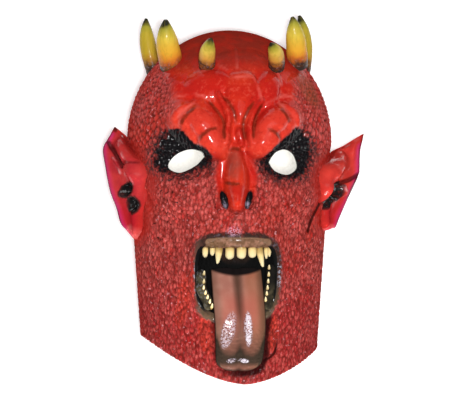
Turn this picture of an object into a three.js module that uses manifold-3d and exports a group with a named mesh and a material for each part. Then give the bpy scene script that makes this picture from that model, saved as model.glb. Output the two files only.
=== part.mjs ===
// An overhead latex devil mask: one hollow casting with six horns, pointed ears, fangs and a long tongue.
// It lies on the flattened back of its head with the face up. Millimetres, +Z up, the crown towards +Y,
// the chin and the neck opening towards -Y. The origin is in the middle of the flat spot that it lies on.
// Left and right are the viewer's, so left is at -X.
import * as THREE from "three";
import { mergeVertices } from "three/addons/utils/BufferGeometryUtils.js";
import Module from "manifold-3d";

// Driving dimensions of the hood.
const WALL = 2.5; // thickness of the latex
const TEMPLE_HALF_WIDTH = 90;
const NECK_HALF_WIDTH = 78;
const AXIS_Z = 98; // height of the head's long axis above the table
const FACE_DEPTH = 100; // from the axis to the face
const BIB_DEPTH = 84; // from the axis to the front of the neck edge
const BACK_DEPTH = 103; // from the axis to the back of the head, before the table flattens it
const NAPE_DEPTH = 88;
const TEMPLE_Y = 50; // the skull's dome begins here
const DOME_HEIGHT = 98.5;
const RIM_SIDE_Y = -127; // the neck edge at the sides
const RIM_TILT = 5; // the neck edge is lower at the right side than at the left
const BIB_DROP = 34.5; // how far the front of the neck edge hangs below its sides
const BIB_ROUNDNESS = 1.5; // 1 for a pointed bib, more for a flatter lower edge
const BIB_SHIFT = 0.08; // how far the bib's lowest place is right of the middle, by the turn's sine
const NAPE_LIFT = 8; // how far the back of the neck edge stands above its sides
const DOME_SHARE = 0.3; // the dome's share of the way from the neck edge to the crown
const SECTION_POWER = 0.92; // the head's section is an ellipse at 1 and fuller below it
const CARVED = [0.05, 0.35]; // the carving fades in as the surface turns to the front, by the turn's cosine

// How finely each form is faceted: columns or sides round it, rows or steps along it.
const FACETS = {
  hood: { columns: 48, rows: 37, crowding: 0.45, busiest: 0.62 },
  lining: { columns: 28, rows: 20, crowding: 0.45, busiest: 0.62 },
  mouth: { sides: 26 },
  eye: { sides: 18 },
  horn: { sides: 8, steps: 6 },
  tooth: { sides: 5, steps: 3 },
  nose: { sides: 9, steps: 7 },
  wing: { sides: 6, steps: 5 },
  upperGum: { sides: 7, steps: 7 },
  lowerGum: { sides: 7, steps: 4 },
  tongue: { sides: 12, steps: 11 },
  ear: { steps: 12, across: 5 },
};
// Columns stand evenly round the hood for this share, and the rest of the spacing grows towards the back.
const EVEN_COLUMNS = 0.3;

// Mouth: a closed pocket behind lips that follow a superellipse, a little wider at the top by flare.
// Its floor is smaller than its front by taper.
const MOUTH = {
  y: -69,
  halfWidth: 35,
  halfHeight: 35,
  power: 3.4,
  flare: 0.03,
  taper: 0.92,
  floorZ: 183,
  frontZ: 240,
};
const LIP = { rise: 3.5, halfWidth: 5 };

// Carved forms are slanted ellipses with half sizes and a rise. Steepness says how squarely a form stands
// up: above 1 it fades in softly, below 1 it swells like a knuckle.
const STEEPNESS = { mass: 1.5, brow: 1, socket: 0.8, chin: 0.7, nostril: 0.7, lobe: 0.6, ridge: 0.8 };
// Swellings of the forehead and brow. They are carved by hand, so the halves differ.
const LOBES = [
  { name: "left inner brow", x: -19, y: 46, long: 16, wide: 12, slant: 125, rise: 6 },
  { name: "left middle brow", x: -27, y: 67, long: 20, wide: 12, slant: 112, rise: 7 },
  { name: "left outer brow", x: -46, y: 73.5, long: 19, wide: 13, slant: 155, rise: 5 },
  { name: "left forehead", x: -24.5, y: 97, long: 21, wide: 13, slant: 15, rise: 4.5 },
  { name: "left temple", x: -50, y: 92, long: 15, wide: 10, slant: 120, rise: 3 },
  { name: "forehead centre", x: 5.5, y: 88, long: 24, wide: 15.5, slant: 90, rise: 5 },
  { name: "crown", x: 5, y: 118, long: 24, wide: 11, slant: 5, rise: 3 },
  { name: "right inner brow", x: 22.5, y: 46, long: 16, wide: 11.5, slant: 40, rise: 6 },
  { name: "right middle brow", x: 31, y: 66.5, long: 19, wide: 11, slant: 45, rise: 7 },
  { name: "right outer brow", x: 49, y: 74, long: 16, wide: 12.5, slant: 60, rise: 5 },
  { name: "right forehead", x: 28.5, y: 93.5, long: 16, wide: 10.5, slant: 80, rise: 4.5 },
  { name: "right temple", x: 52, y: 95, long: 14, wide: 9, slant: 60, rise: 3 },
];
const BROWS = [
  { name: "left brow", x: -32, y: 57, long: 35, wide: 19, slant: -36, rise: 7 },
  { name: "right brow", x: 34, y: 57, long: 33, wide: 18, slant: 38, rise: 7 },
];
const CHIN = { x: 2, y: -128, long: 36, wide: 23, slant: 0, rise: 6 };
// Upright ridges of the frown between the brows.
const FROWN = {
  rise: 5,
  halfWidth: 3.4,
  ridges: [
    [[-15, 88], [-9, 77], [-6.5, 68], [-7.8, 58], [-8, 47]],
    [[2, 57], [4.6, 46]],
    [[22, 82], [14.5, 72], [11, 60], [11.8, 47]],
  ],
};
// Forms that are the same on both sides.
const MASSES = [
  { name: "muzzle", x: 0, y: -62, long: 76, wide: 56, slant: 90, rise: 12 },
  { name: "cheek", x: 50, y: 0, long: 32, wide: 22, slant: 40, rise: 5 },
];
const SOCKETS = [
  { name: "eye", x: 44, y: 30, long: 26, wide: 15, slant: 8, rise: -10 },
  { name: "lid", x: 49, y: 45, long: 20, wide: 15, slant: 65, rise: -8 },
];
const NOSTRIL = { x: 11.3, y: -2, long: 9.5, wide: 4, slant: 79, rise: -6 };
const NOSE_FOLDS = [
  { rise: 2, halfWidth: 4.8, line: [[-13, 35], [-17, 22], [-17.5, 3]] },
  { rise: 2, halfWidth: 4.8, line: [[7, 35], [13.5, 25], [21, 15]] },
];
const JAW_FOLD = { rise: -4, halfWidth: 4, line: [[78, 4], [54, -44]] }; // from the ear lobe to the jaw

// The nose: a ridge down to a bulb, with a wing curled round each nostril.
const NOSE = {
  ridge: [[0, 44, 196], [0, 20, 201], [0, -4, 208.5]],
  topRadius: 5.5,
  tipRadius: 8.5,
  rounded: 0.8,
};
const WING = { curl: [[15, 15, 194], [16, 5, 197], [16, -3, 197], [12.5, -11, 199]], radius: 4, ends: 0.4 };

// Eye holes, cut by hand, with the inner corner first.
const EYES = [
  [[-27, 35], [-30, 39.5], [-40, 41.3], [-51.5, 36.3], [-57.5, 26.5], [-48, 21.3], [-34.4, 27.2]],
  [[28.8, 30], [34, 38.5], [43.3, 41.4], [51, 37], [54.4, 26], [46, 19.7], [34.7, 22.7]],
];
const EYE_CUT = { fromZ: 131, toZ: 248 };

// Horns: bow is how far the middle stands off the straight line from base to tip.
const HORNS = [
  { name: "front left", base: [-22.5, 109, 166], tip: [-21.5, 136.5, 197], radius: 7.5, bow: [-3.5, 2, 4] },
  { name: "front right", base: [37, 109, 166], tip: [29.5, 132.5, 196], radius: 7.2, bow: [4.5, 3, 4] },
  { name: "middle left", base: [-52, 113, 138], tip: [-59.2, 154.5, 160], radius: 10.4, bow: [-3.5, 2, 6] },
  { name: "middle right", base: [57.5, 116, 138], tip: [51.6, 157.5, 158], radius: 9.2, bow: [1, 2, 5] },
  { name: "rear left", base: [-65, 110, 92], tip: [-73.5, 159.5, 92], radius: 7.7, bow: [-5.5, 4, 0] },
  { name: "rear right", base: [64.5, 110, 92], tip: [63, 162.5, 92], radius: 7.8, bow: [7, 4, 0] },
];
const HORN_BEND = 0.45; // where the bow is, as a share of the way to the tip
// The tip's share of the radius, and how late the horn narrows.
const HORN_TIP = { share: 0.2, bluntness: 2.2 };

// Upper teeth, hanging from the gum: place along the jaw, half width, length and how far the tip leans.
const GUM = { y: -38.5, halfWidth: 30, z: 190, archDepth: 9, radius: 6 };
const UPPER_TEETH = [
  { x: -26.8, half: 3.1, length: 12.5, lean: 0, bluntness: 4 },
  { x: -20.8, half: 2.8, length: 11, lean: 0, bluntness: 4 },
  { x: -14.7, half: 3.8, length: 17, lean: -1.7, bluntness: 1.6 },
  { x: -6.3, half: 4.6, length: 13.5, lean: 0, bluntness: 5 },
  { x: 3, half: 4.6, length: 13.5, lean: 0, bluntness: 5 },
  { x: 12.7, half: 4, length: 13, lean: 0, bluntness: 5 },
  { x: 18.9, half: 3.4, length: 20, lean: 3.8, bluntness: 1.6 },
  { x: 25.3, half: 2.6, length: 13, lean: 0.6, bluntness: 3 },
  { x: 28.4, half: 2.2, length: 11.5, lean: 0.4, bluntness: 3 },
];
// Lower teeth stand on a soft bar down each side of the mouth, and point up and out of it.
const LOWER_JAW = { z: 193, radius: 4.5, spread: 1.1, above: 3, endY: -97 };
const LOWER_TOOTH = {
  half: 1.9,
  foot: [0, -3, 0],
  bend: [0.9, -2, 5],
  tip: [0.9, 3.5, 8.5],
  bluntness: 1.6,
};
const LOWER_TEETH = [
  [[-28, -61], [-28, -70], [-26, -80], [-22.5, -90]],
  [[28.5, -62], [27.8, -70], [26.5, -79], [25, -88]],
];
const TOOTH_TIP_SHARE = 0.3;

// The tongue comes out over the lower lip and lies down the chin.
const TONGUE = {
  spine: [[0.3, -63, 187], [1.8, -86, 195.5], [3.4, -108, 199.5], [4, -130, 196.5], [3.7, -148.5, 188]],
  halfWidth: 22.6,
  tipShare: 0.88, // of the width, at the tip
  halfThickness: 7,
  rootThickness: 13, // below the middle, so that the root joins the floor of the mouth
  rounded: 0.86, // the tip is rounded beyond this share of the length
  grooveDepth: 0.45, // of the thickness, down the middle
};

// Ears: the line where the root meets the hood and the free edge, both from the lobe up to the tip,
// as the distance outwards, y and z. Pits and bulges are seen from the front.
const EAR = {
  thickness: 3.5,
  swelling: { rise: 7, middle: 0.33, spread: 0.24 }, // along the root, as shares of the ear's width
  dish: 0.05,
  rim: { rise: 1.6, halfWidth: 4, inFromEdge: 1.5 },
  sunkRoot: 5, // the relief fades in over this width at the root
  // From the narrow ends to these widths, each of these fades in.
  fullRelief: [2, 12],
  fullSwelling: [8, 26],
  fullThickness: [0, 8],
};
const EARS = [
  {
    side: -1,
    root: [[82, -38, 118], [76, -28, 138], [75, -13, 143], [72.5, 3, 148], [70, 22, 156], [81, 36, 137],
      [91, 54, 101], [101.8, 62.9, 102]],
    edge: [[85.2, -37.4, 122], [91.6, -29.1, 126], [98, -20, 123], [105.5, 3.5, 118], [110.2, 27, 112],
      [112.2, 41, 106], [104.5, 58, 103], [101.8, 62.9, 102]],
    forms: [
      { name: "bulge under the tip", x: 89, y: 38.5, long: 15, wide: 8, slant: 40, rise: 4.5 },
      { name: "bulge at the root", x: 85, y: 22, long: 10, wide: 7, slant: 70, rise: 4 },
      { name: "upper pit", x: 91.7, y: 6.8, long: 9.5, wide: 5.5, slant: 146, rise: -6 },
      { name: "lower pit", x: 85.3, y: -5.7, long: 8, wide: 6.5, slant: 80, rise: -6 },
    ],
  },
  {
    side: 1,
    root: [[77.5, -31, 130], [74.5, -10, 142], [73.5, 8, 149], [71, 22, 155], [78, 31.5, 142],
      [91, 41, 101], [106, 49, 102], [120.1, 57.3, 102]],
    edge: [[81, -30, 127], [92.1, -26, 126], [96.1, -17.2, 123], [102.7, -3, 119], [114.4, 20.1, 111],
      [115.8, 33.8, 107], [118.7, 50.8, 103], [120.1, 57.3, 102]],
    forms: [
      { name: "bulge at the root", x: 87.5, y: 21.5, long: 12, wide: 9, slant: 20, rise: 5.5 },
      { name: "bulge under the tip", x: 97, y: 28.5, long: 12, wide: 7, slant: 35, rise: 3.5 },
      { name: "pit", x: 90.5, y: 3.2, long: 13, wide: 6, slant: 43, rise: -6 },
    ],
  },
];
const EAR_ENDS = [0.01, 0.995]; // the shares of the lines where the ear starts and stops

const { abs, cbrt, cos, exp, sin, max, min, sqrt, PI, sign, hypot } = Math;
const degrees = PI / 180;
const mix = THREE.MathUtils.lerp;
const ease = THREE.MathUtils.smoothstep; // ease(value, low, high)
const power = (value, exponent) => sign(value) * abs(value) ** exponent;
const point = ([x, y, z]) => new THREE.Vector3(x, y, z);
const spline = (places) => new THREE.CatmullRomCurve3(places.map(point));
const list = (count, make) => Array.from({ length: count }, (_, i) => make(i));

// 1 at the centre of a slanted ellipse and 0 on its edge.
function inEllipse(x, y, { x: cx, y: cy, long, wide, slant }) {
  const turn = slant * degrees;
  const along = ((x - cx) * cos(turn) + (y - cy) * sin(turn)) / long;
  const across = ((y - cy) * cos(turn) - (x - cx) * sin(turn)) / wide;
  return max(0, 1 - along * along - across * across);
}
const swell = (x, y, form, steepness) => form.rise * inEllipse(x, y, form) ** steepness;
const sum = (values) => values.reduce((total, value) => total + value, 0);

// 1 on a line through some places and 0 beyond halfWidth of it.
function nearLine(x, y, line, halfWidth) {
  let nearest = Infinity;
  for (let i = 0; i + 1 < line.length; i++) {
    const [[ax, ay], [bx, by]] = [line[i], line[i + 1]];
    const share = ((x - ax) * (bx - ax) + (y - ay) * (by - ay)) / ((bx - ax) ** 2 + (by - ay) ** 2);
    const t = min(1, max(0, share));
    nearest = min(nearest, hypot(x - mix(ax, bx, t), y - mix(ay, by, t)));
  }
  return max(0, 1 - (nearest / halfWidth) ** 2);
}
const fold = (x, y, { rise, halfWidth, line }) => rise * nearLine(x, y, line, halfWidth);

// The lips' outline: 1 on it, less inside.
const mouthFlare = (y) => 1 + (MOUTH.flare * (y - MOUTH.y)) / MOUTH.halfHeight;
function mouthReach(x, y) {
  const across = abs(x / (MOUTH.halfWidth * mouthFlare(y)));
  const upwards = abs((y - MOUTH.y) / MOUTH.halfHeight);
  return (across ** MOUTH.power + upwards ** MOUTH.power) ** (1 / MOUTH.power);
}

// How far the face stands out of the plain hood at a place seen from the front. Neighbouring knuckles of
// the brow run into each other, so they are joined as a sum of cubes.
function relief(x, y) {
  const ax = abs(x);
  const nearRidge = (line) => nearLine(x, y, line, FROWN.halfWidth) ** STEEPNESS.ridge;
  const ridges = FROWN.ridges.map((line) => FROWN.rise * nearRidge(line));
  const lobes = LOBES.map((form) => swell(x, y, form, STEEPNESS.lobe));
  const knuckles = cbrt(sum([...lobes, max(...ridges)].map((rise) => rise ** 3)));
  const brow = knuckles + sum(BROWS.map((form) => swell(x, y, form, STEEPNESS.brow)));
  const sockets = min(...SOCKETS.map((form) => swell(ax, y, form, STEEPNESS.socket)));
  const masses = sum(MASSES.map((form) => swell(ax, y, form, STEEPNESS.mass)));
  const broad = masses + swell(x, y, CHIN, STEEPNESS.chin) + (brow > 0 ? brow : sockets);
  const fromLips = (mouthReach(x, y) - 1) * MOUTH.halfWidth;
  const lips = LIP.rise * max(0, 1 - (fromLips / LIP.halfWidth) ** 2);
  const nostril = swell(ax, y, NOSTRIL, STEEPNESS.nostril);
  const besideNose = max(...NOSE_FOLDS.map((line) => fold(x, y, line)));
  return broad + lips + nostril + besideNose + fold(ax, y, JAW_FOLD);
}

// A smooth stand-in for the relief that stays under it everywhere nearby, for the coarser inside.
function liningRelief(x, y) {
  const clearance = 0.8;
  const around = [3, 6].flatMap((reach) =>
    list(8, (i) => relief(x + reach * cos((i * PI) / 4), y + reach * sin((i * PI) / 4))),
  );
  return min(relief(x, y), ...around) - clearance;
}

// A point of the hood: u runs round it from the front (0) to the back (180 degrees), and v from the neck
// edge (0) up to the crown (1).
function hoodPoint(u, v, height, beyondRim = 0) {
  const frontness = cos(u);
  const aside = sin(u) - BIB_SHIFT;
  const fromLowest = abs(aside) / (aside < 0 ? 1 + BIB_SHIFT : 1 - BIB_SHIFT);
  const bib = frontness > 0 ? BIB_DROP * (1 - fromLowest ** BIB_ROUNDNESS) : 0;
  const rimY = RIM_SIDE_Y - RIM_TILT * sin(u) - bib + NAPE_LIFT * max(0, -frontness) - beyondRim;
  const up = max(0, (v - 1 + DOME_SHARE) / DOME_SHARE) * 90 * degrees;
  const level = mix(rimY, TEMPLE_Y, min(1, v / (1 - DOME_SHARE)));
  const down = min(1, max(0, (TEMPLE_Y - level) / (TEMPLE_Y - RIM_SIDE_Y)));
  const halfWidth = mix(TEMPLE_HALF_WIDTH, NECK_HALF_WIDTH, down);
  const frontDepth = mix(FACE_DEPTH, BIB_DEPTH, down ** 2);
  const backDepth = mix(BACK_DEPTH, NAPE_DEPTH, down ** 3);
  const out = new THREE.Vector3(
    halfWidth * power(sin(u), SECTION_POWER) * cos(up),
    DOME_HEIGHT * sin(up),
    (frontness > 0 ? frontDepth : backDepth) * power(frontness, SECTION_POWER) * cos(up),
  );
  const place = out.clone().add(new THREE.Vector3(0, level, AXIS_Z));
  return place.addScaledVector(out.normalize(), ease(frontness, ...CARVED) * height(place.x, place.y));
}

// The same point moved inwards by depth along the surface's normal.
function sunkPoint(u, v, height, depth, beyondRim) {
  const step = 0.02;
  const at = (du, dv) => hoodPoint(u + du, min(v + dv, 1 - step / 20), height, beyondRim);
  const round = at(step, 0).sub(at(-step, 0));
  const upward = at(0, step).sub(at(0, -step));
  return at(0, 0).addScaledVector(upward.cross(round).normalize(), depth);
}

// A closed geometry from rings of equally many points; each end is closed with a fan.
function closedRings(rings, firstEnd, lastEnd) {
  const count = rings[0].length;
  const centre = (ring) => ring.reduce((total, p) => total.add(p), new THREE.Vector3()).divideScalar(count);
  const points = [...rings.flat(), firstEnd ?? centre(rings[0]), lastEnd ?? centre(rings.at(-1))];
  const start = points.length - 2;
  const end = points.length - 1;
  const faces = [];
  for (let i = 0; i < count; i++) {
    const next = (i + 1) % count;
    for (let row = 0; row + 1 < rings.length; row++) {
      const [a, b] = [row * count + i, row * count + next];
      faces.push(a, b, b + count, a, b + count, a + count);
    }
    faces.push(start, next, i, end, (rings.length - 1) * count + i, (rings.length - 1) * count + next);
  }
  return new THREE.BufferGeometry().setFromPoints(points).setIndex(faces);
}

const wasm = await Module();
wasm.setup();
// A solid from a closed geometry, turned right side out if its faces point inwards.
function solid(geometry) {
  const bare = geometry.clone();
  bare.deleteAttribute("normal");
  bare.deleteAttribute("uv");
  const merged = mergeVertices(bare, 1e-3);
  const vertProperties = new Float32Array(merged.attributes.position.array);
  const triVerts = new Uint32Array(merged.index.array);
  const made = new wasm.Manifold(new wasm.Mesh({ numProp: 3, vertProperties, triVerts }));
  if (made.volume() > 0) return made;
  for (let i = 0; i < triVerts.length; i += 3) {
    [triVerts[i], triVerts[i + 1]] = [triVerts[i + 1], triVerts[i]];
  }
  return new wasm.Manifold(new wasm.Mesh({ numProp: 3, vertProperties, triVerts }));
}

// The hood's surface as rings. Its points are closest together round the nose and brow and furthest apart
// behind.
function hoodRings({ columns, rows, crowding, busiest }, pointAt) {
  const ring = (v) =>
    list(columns, (i) => {
      const s = (2 * i) / columns - 1;
      return pointAt(PI * (EVEN_COLUMNS * s + (1 - EVEN_COLUMNS) * s ** 3), v);
    });
  const wave = (t) => sin(2 * PI * (t - busiest));
  return list(rows, (row) => ring(row / rows - (crowding * (wave(row / rows) - wave(0))) / (2 * PI)));
}
const onTable = (p, floor) => p.setZ(max(p.z, floor));

function outerHood() {
  const rings = hoodRings(FACETS.hood, (u, v) => onTable(hoodPoint(u, v, relief), 0));
  return solid(closedRings(rings, new THREE.Vector3(0, RIM_SIDE_Y, AXIS_Z), hoodPoint(0, 1, relief)));
}
function lining() {
  const beyondRim = 12;
  const inside = (u, v) => onTable(sunkPoint(u, v, liningRelief, WALL, beyondRim), WALL);
  const rings = hoodRings(FACETS.lining, inside);
  const crown = hoodPoint(0, 1, relief).sub(new THREE.Vector3(0, WALL, 0));
  return solid(closedRings(rings, undefined, crown));
}

// The mouth's pocket, grown by some margin.
function mouthBlock(margin) {
  const { sides } = FACETS.mouth;
  const ring = (z, scale) =>
    list(sides, (i) => {
      const turn = (2 * PI * i) / sides;
      const y = MOUTH.y + (MOUTH.halfHeight * scale + margin) * power(sin(turn), 2 / MOUTH.power);
      const x = (MOUTH.halfWidth * scale + margin) * mouthFlare(y) * power(cos(turn), 2 / MOUTH.power);
      return new THREE.Vector3(x, y, z);
    });
  return solid(closedRings([ring(MOUTH.floorZ - margin, MOUTH.taper), ring(MOUTH.frontZ, 1)]));
}

// A prism through the face over an eye's outline.
function eyeHole(corners) {
  const outline = new THREE.CatmullRomCurve3(corners.map(([x, y]) => new THREE.Vector3(x, y, 0)), true);
  const { sides } = FACETS.eye;
  const ring = (z) => list(sides, (i) => outline.getPoint(i / sides).setZ(z));
  return solid(closedRings([ring(EYE_CUT.fromZ), ring(EYE_CUT.toZ)]));
}

// A bent, tapered round bar along a curve, with its radius given by a function of the way along.
function taperedBar(curve, radiusAt, { sides, steps }) {
  const frames = curve.computeFrenetFrames(steps, false);
  const rings = list(steps + 1, (k) => {
    const middle = curve.getPointAt(k / steps);
    const radius = radiusAt(k / steps);
    return list(sides, (i) => {
      const turn = (2 * PI * i) / sides;
      const across = middle.clone().addScaledVector(frames.normals[k], radius * cos(turn));
      return across.addScaledVector(frames.binormals[k], radius * sin(turn));
    });
  });
  return solid(closedRings(rings));
}
const narrowing = (radius, tipShare, bluntness) => (t) =>
  radius * mix(tipShare, 1, cos((PI / 2) * t ** bluntness));

function horn({ base, tip, radius, bow }) {
  const bend = point(base).lerp(point(tip), HORN_BEND).add(point(bow));
  const curve = new THREE.QuadraticBezierCurve3(point(base), bend, point(tip));
  return taperedBar(curve, narrowing(radius, HORN_TIP.share, HORN_TIP.bluntness), FACETS.horn);
}

const gumArchZ = (x) => GUM.z + GUM.archDepth * (1 - (x / GUM.halfWidth) ** 2);
function upperTooth({ x, half, length, lean, bluntness }) {
  const foot = new THREE.Vector3(x, GUM.y, gumArchZ(x) + 1);
  const curve = new THREE.LineCurve3(foot, new THREE.Vector3(x + lean, GUM.y - 2 - length, gumArchZ(x)));
  return taperedBar(curve, narrowing(half, TOOTH_TIP_SHARE, bluntness), FACETS.tooth);
}

function upperGum() {
  const places = [-1, -0.5, 0, 0.5, 1].map((share) => share * GUM.halfWidth);
  const arch = spline(places.map((x) => [x, GUM.y, gumArchZ(x)]));
  return taperedBar(arch, () => GUM.radius, FACETS.upperGum);
}

// A lower tooth is given by its place on the jaw, and leans towards the middle of the mouth.
function lowerTooth([x, y]) {
  const [foot, bend, tip] = [LOWER_TOOTH.foot, LOWER_TOOTH.bend, LOWER_TOOTH.tip].map(
    ([inwards, up, out]) => new THREE.Vector3(x - sign(x) * inwards, y + up, LOWER_JAW.z + out),
  );
  const curve = new THREE.QuadraticBezierCurve3(foot, bend, tip);
  const radiusAt = narrowing(LOWER_TOOTH.half, TOOTH_TIP_SHARE, LOWER_TOOTH.bluntness);
  return taperedBar(curve, radiusAt, FACETS.tooth);
}

function lowerGum(row) {
  const [first, last] = [row[0], row.at(-1)];
  const line = [[first[0], first[1] + LOWER_JAW.above], ...row.slice(1, -1), [last[0], LOWER_JAW.endY]];
  const curve = spline(line.map(([x, y]) => [x * LOWER_JAW.spread, y, LOWER_JAW.z]));
  return taperedBar(curve, () => LOWER_JAW.radius, FACETS.lowerGum);
}

function nose() {
  const rounding = (t) => sqrt(1 - max(0, (t - NOSE.rounded) / (1.03 - NOSE.rounded)) ** 2);
  const bulb = (t) => mix(NOSE.topRadius, NOSE.tipRadius, ease(t, 0.2, 0.7)) * rounding(t);
  const wing = (side) => {
    const curl = spline(WING.curl.map(([x, y, z]) => [side * x, y, z]));
    const fullness = (t) => mix(WING.ends, 1, sin(PI * mix(0.1, 0.9, t)));
    return taperedBar(curl, (t) => WING.radius * fullness(t), FACETS.wing);
  };
  return [taperedBar(spline(NOSE.ridge), bulb, FACETS.nose), wing(-1), wing(1)];
}

function tongue() {
  const { spine, halfWidth, tipShare, halfThickness, rootThickness, rounded, grooveDepth } = TONGUE;
  const curve = spline(spine);
  const across = new THREE.Vector3(1, 0, 0);
  const { sides, steps } = FACETS.tongue;
  const rings = list(steps + 1, (k) => {
    const t = k / steps;
    const middle = curve.getPointAt(t);
    const up = across.clone().cross(curve.getTangentAt(t)).normalize();
    const round = sqrt(1 - max(0, (t - rounded) / (1.005 - rounded)) ** 2.5);
    const below = mix(rootThickness, halfThickness, ease(t, 0.3, 0.55));
    return list(sides, (i) => {
      const turn = (2 * PI * i) / sides;
      const groove = 1 - grooveDepth * max(0, sin(turn)) ** 12;
      const thickness = sin(turn) < 0 ? below : halfThickness;
      const side = power(cos(turn), 0.8) * halfWidth * mix(1, tipShare, t) * mix(0.35, 1, round);
      const lift = sin(turn) * groove * thickness * mix(0.4, 1, round);
      return middle.clone().addScaledVector(across, side).addScaledVector(up, lift * sign(up.z));
    });
  });
  return solid(closedRings(rings));
}

// An ear as a leaf between its root and its free edge: swollen near the root, dished outside that, with a
// raised rim.
function ear({ side, root, edge, forms }) {
  const [rootCurve, edgeCurve] = [spline(root), spline(edge)];
  const { steps, across } = FACETS.ear;
  const rings = list(steps, (k) => {
    const t = mix(...EAR_ENDS, k / (steps - 1));
    const [from, to] = [rootCurve.getPointAt(t), edgeCurve.getPointAt(t)];
    const width = from.distanceTo(to);
    const upward = rootCurve.getTangentAt(t).add(edgeCurve.getTangentAt(t));
    const facing = to.clone().sub(from).cross(upward).normalize();
    const sections = list(across + 1, (i) => {
      const s = i / across;
      const flat = from.clone().lerp(to, s);
      const { swelling, rim } = EAR;
      const bell = exp(-(((s - swelling.middle) / swelling.spread) ** 2));
      const swollen = swelling.rise * bell * ease(width, ...EAR.fullSwelling);
      const dish = EAR.dish * width * sin(PI * s ** 1.5);
      const fromEdge = (1 - s) * width;
      const rimmed = rim.rise * max(0, 1 - ((fromEdge - rim.inFromEdge) / rim.halfWidth) ** 2);
      const carved = sum(forms.map((form) => swell(flat.x, flat.y, form, STEEPNESS.socket)));
      const fade = ease(width, ...EAR.fullRelief) * ease(s * width, 0, EAR.sunkRoot);
      const height = (swollen - dish + rimmed + carved) * fade;
      const thickness = EAR.thickness * ease(width, ...EAR.fullThickness);
      const front = flat.clone().addScaledVector(facing, height);
      const back = flat.clone().addScaledVector(facing, min(height, 0) - thickness);
      return { front, back };
    });
    const ring = [...sections.map(({ front }) => front), ...sections.reverse().map(({ back }) => back)];
    return ring.map((p) => new THREE.Vector3(side * p.x, p.y, p.z));
  });
  return solid(closedRings(rings));
}

function mask() {
  let casting = outerHood();
  for (const shape of [...EARS.map(ear), ...HORNS.map(horn), ...nose()]) casting = casting.add(shape);
  const skin = casting;
  casting = casting.subtract(lining()).add(mouthBlock(WALL).intersect(skin)).subtract(mouthBlock(0));
  const bite = [upperGum(), ...UPPER_TEETH.map(upperTooth), tongue()];
  for (const row of LOWER_TEETH) bite.push(lowerGum(row), ...row.map(lowerTooth));
  for (const shape of bite) casting = casting.add(shape);
  for (const eye of EYES) casting = casting.subtract(eyeHole(eye));
  return casting;
}

function meshOf(made, name, material) {
  const { numProp, vertProperties, triVerts } = made.getMesh();
  const geometry = new THREE.BufferGeometry();
  geometry.setAttribute("position", new THREE.BufferAttribute(vertProperties, numProp));
  geometry.setIndex(new THREE.BufferAttribute(triVerts, 1));
  geometry.computeVertexNormals();
  const mesh = new THREE.Mesh(geometry, material);
  mesh.name = name;
  return mesh;
}

const latex = new THREE.MeshStandardMaterial({ color: 0xb9292a, roughness: 0.45, metalness: 0 });
const group = new THREE.Group();
group.add(meshOf(mask(), "mask", latex));

export default group;
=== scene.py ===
"""An overhead latex devil mask, lying on the back of its head with the face up.

The hood is one thin latex shell with scales, brow folds and a nose. The ears, horns, teeth, gums and tongue
are moulded with it and painted in their own colours. Sizes are in millimetres and places are in the frame of
the solid model: +Z out through the face, +Y towards the crown, x = 0 in the middle of the face.
"""

import itertools
import math
from collections import namedtuple

import bpy
import numpy as np
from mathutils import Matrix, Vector, kdtree


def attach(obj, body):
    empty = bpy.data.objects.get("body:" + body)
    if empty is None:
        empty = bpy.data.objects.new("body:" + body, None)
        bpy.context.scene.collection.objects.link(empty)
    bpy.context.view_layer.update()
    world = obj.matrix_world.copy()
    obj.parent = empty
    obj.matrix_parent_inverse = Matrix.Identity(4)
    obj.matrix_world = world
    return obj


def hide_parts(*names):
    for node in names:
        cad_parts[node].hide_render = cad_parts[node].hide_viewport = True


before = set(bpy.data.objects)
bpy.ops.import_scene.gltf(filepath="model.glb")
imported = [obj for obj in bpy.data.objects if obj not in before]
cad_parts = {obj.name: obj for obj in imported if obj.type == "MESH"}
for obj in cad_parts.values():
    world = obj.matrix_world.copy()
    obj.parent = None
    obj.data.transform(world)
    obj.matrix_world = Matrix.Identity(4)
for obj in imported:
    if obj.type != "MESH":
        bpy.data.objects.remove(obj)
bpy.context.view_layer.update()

MM = 0.001
SEED = 7
PI = math.pi


# Camera, floor and lights

CAMERA_DISTANCE = 3.0
SENSOR_WIDTH = 36
PHOTO_WIDTH_PX = 465
MM_PER_PX = 0.88
HEAD_TURN = math.radians(3.7)  # the face looks a little to the viewer's right
AIM = Vector((0.0010, -0.0053, 0.13))
# Each lamp's place and width in metres, and its power in watts.
LAMPS = {
    "key": ((-0.10, -0.05, 2.6), 0.22, 58),
    "fill": ((0.15, 0.15, 2.6), 2.4, 26),
    "neck": ((0.0, -1.3, 0.09), 0.3, 32),
}
FLOOR_WIDTH = 6
FLOOR_FINISH = {
    "Base Color": (0.9, 0.9, 0.9, 1), "Roughness": 0.9,
    "Emission Color": (1, 1, 1, 1), "Emission Strength": 0.3,
}
ROOM_LIGHT = {"Color": (1, 1, 1, 1), "Strength": 0.14}


def set_inputs(node, values):
    for key, value in values.items():
        node.inputs[key].default_value = value


def place_camera():
    data = bpy.data.cameras.new("camera")
    data.sensor_width = SENSOR_WIDTH
    data.lens = data.sensor_width * CAMERA_DISTANCE / (PHOTO_WIDTH_PX * MM_PER_PX * MM)
    camera = bpy.data.objects.new("camera", data)
    bpy.context.collection.objects.link(camera)
    camera.location = AIM + CAMERA_DISTANCE * Vector((-math.sin(HEAD_TURN), 0, math.cos(HEAD_TURN)))
    camera.rotation_euler = (0, -HEAD_TURN, 0)
    bpy.context.scene.camera = camera


def lay_floor():
    bpy.ops.mesh.primitive_plane_add(size=FLOOR_WIDTH)
    floor = bpy.context.object
    floor.name = "floor"
    paint = bpy.data.materials.new("pale floor")
    paint.use_nodes = True
    set_inputs(paint.node_tree.nodes["Principled BSDF"], FLOOR_FINISH)
    floor.data.materials.append(paint)


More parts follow.
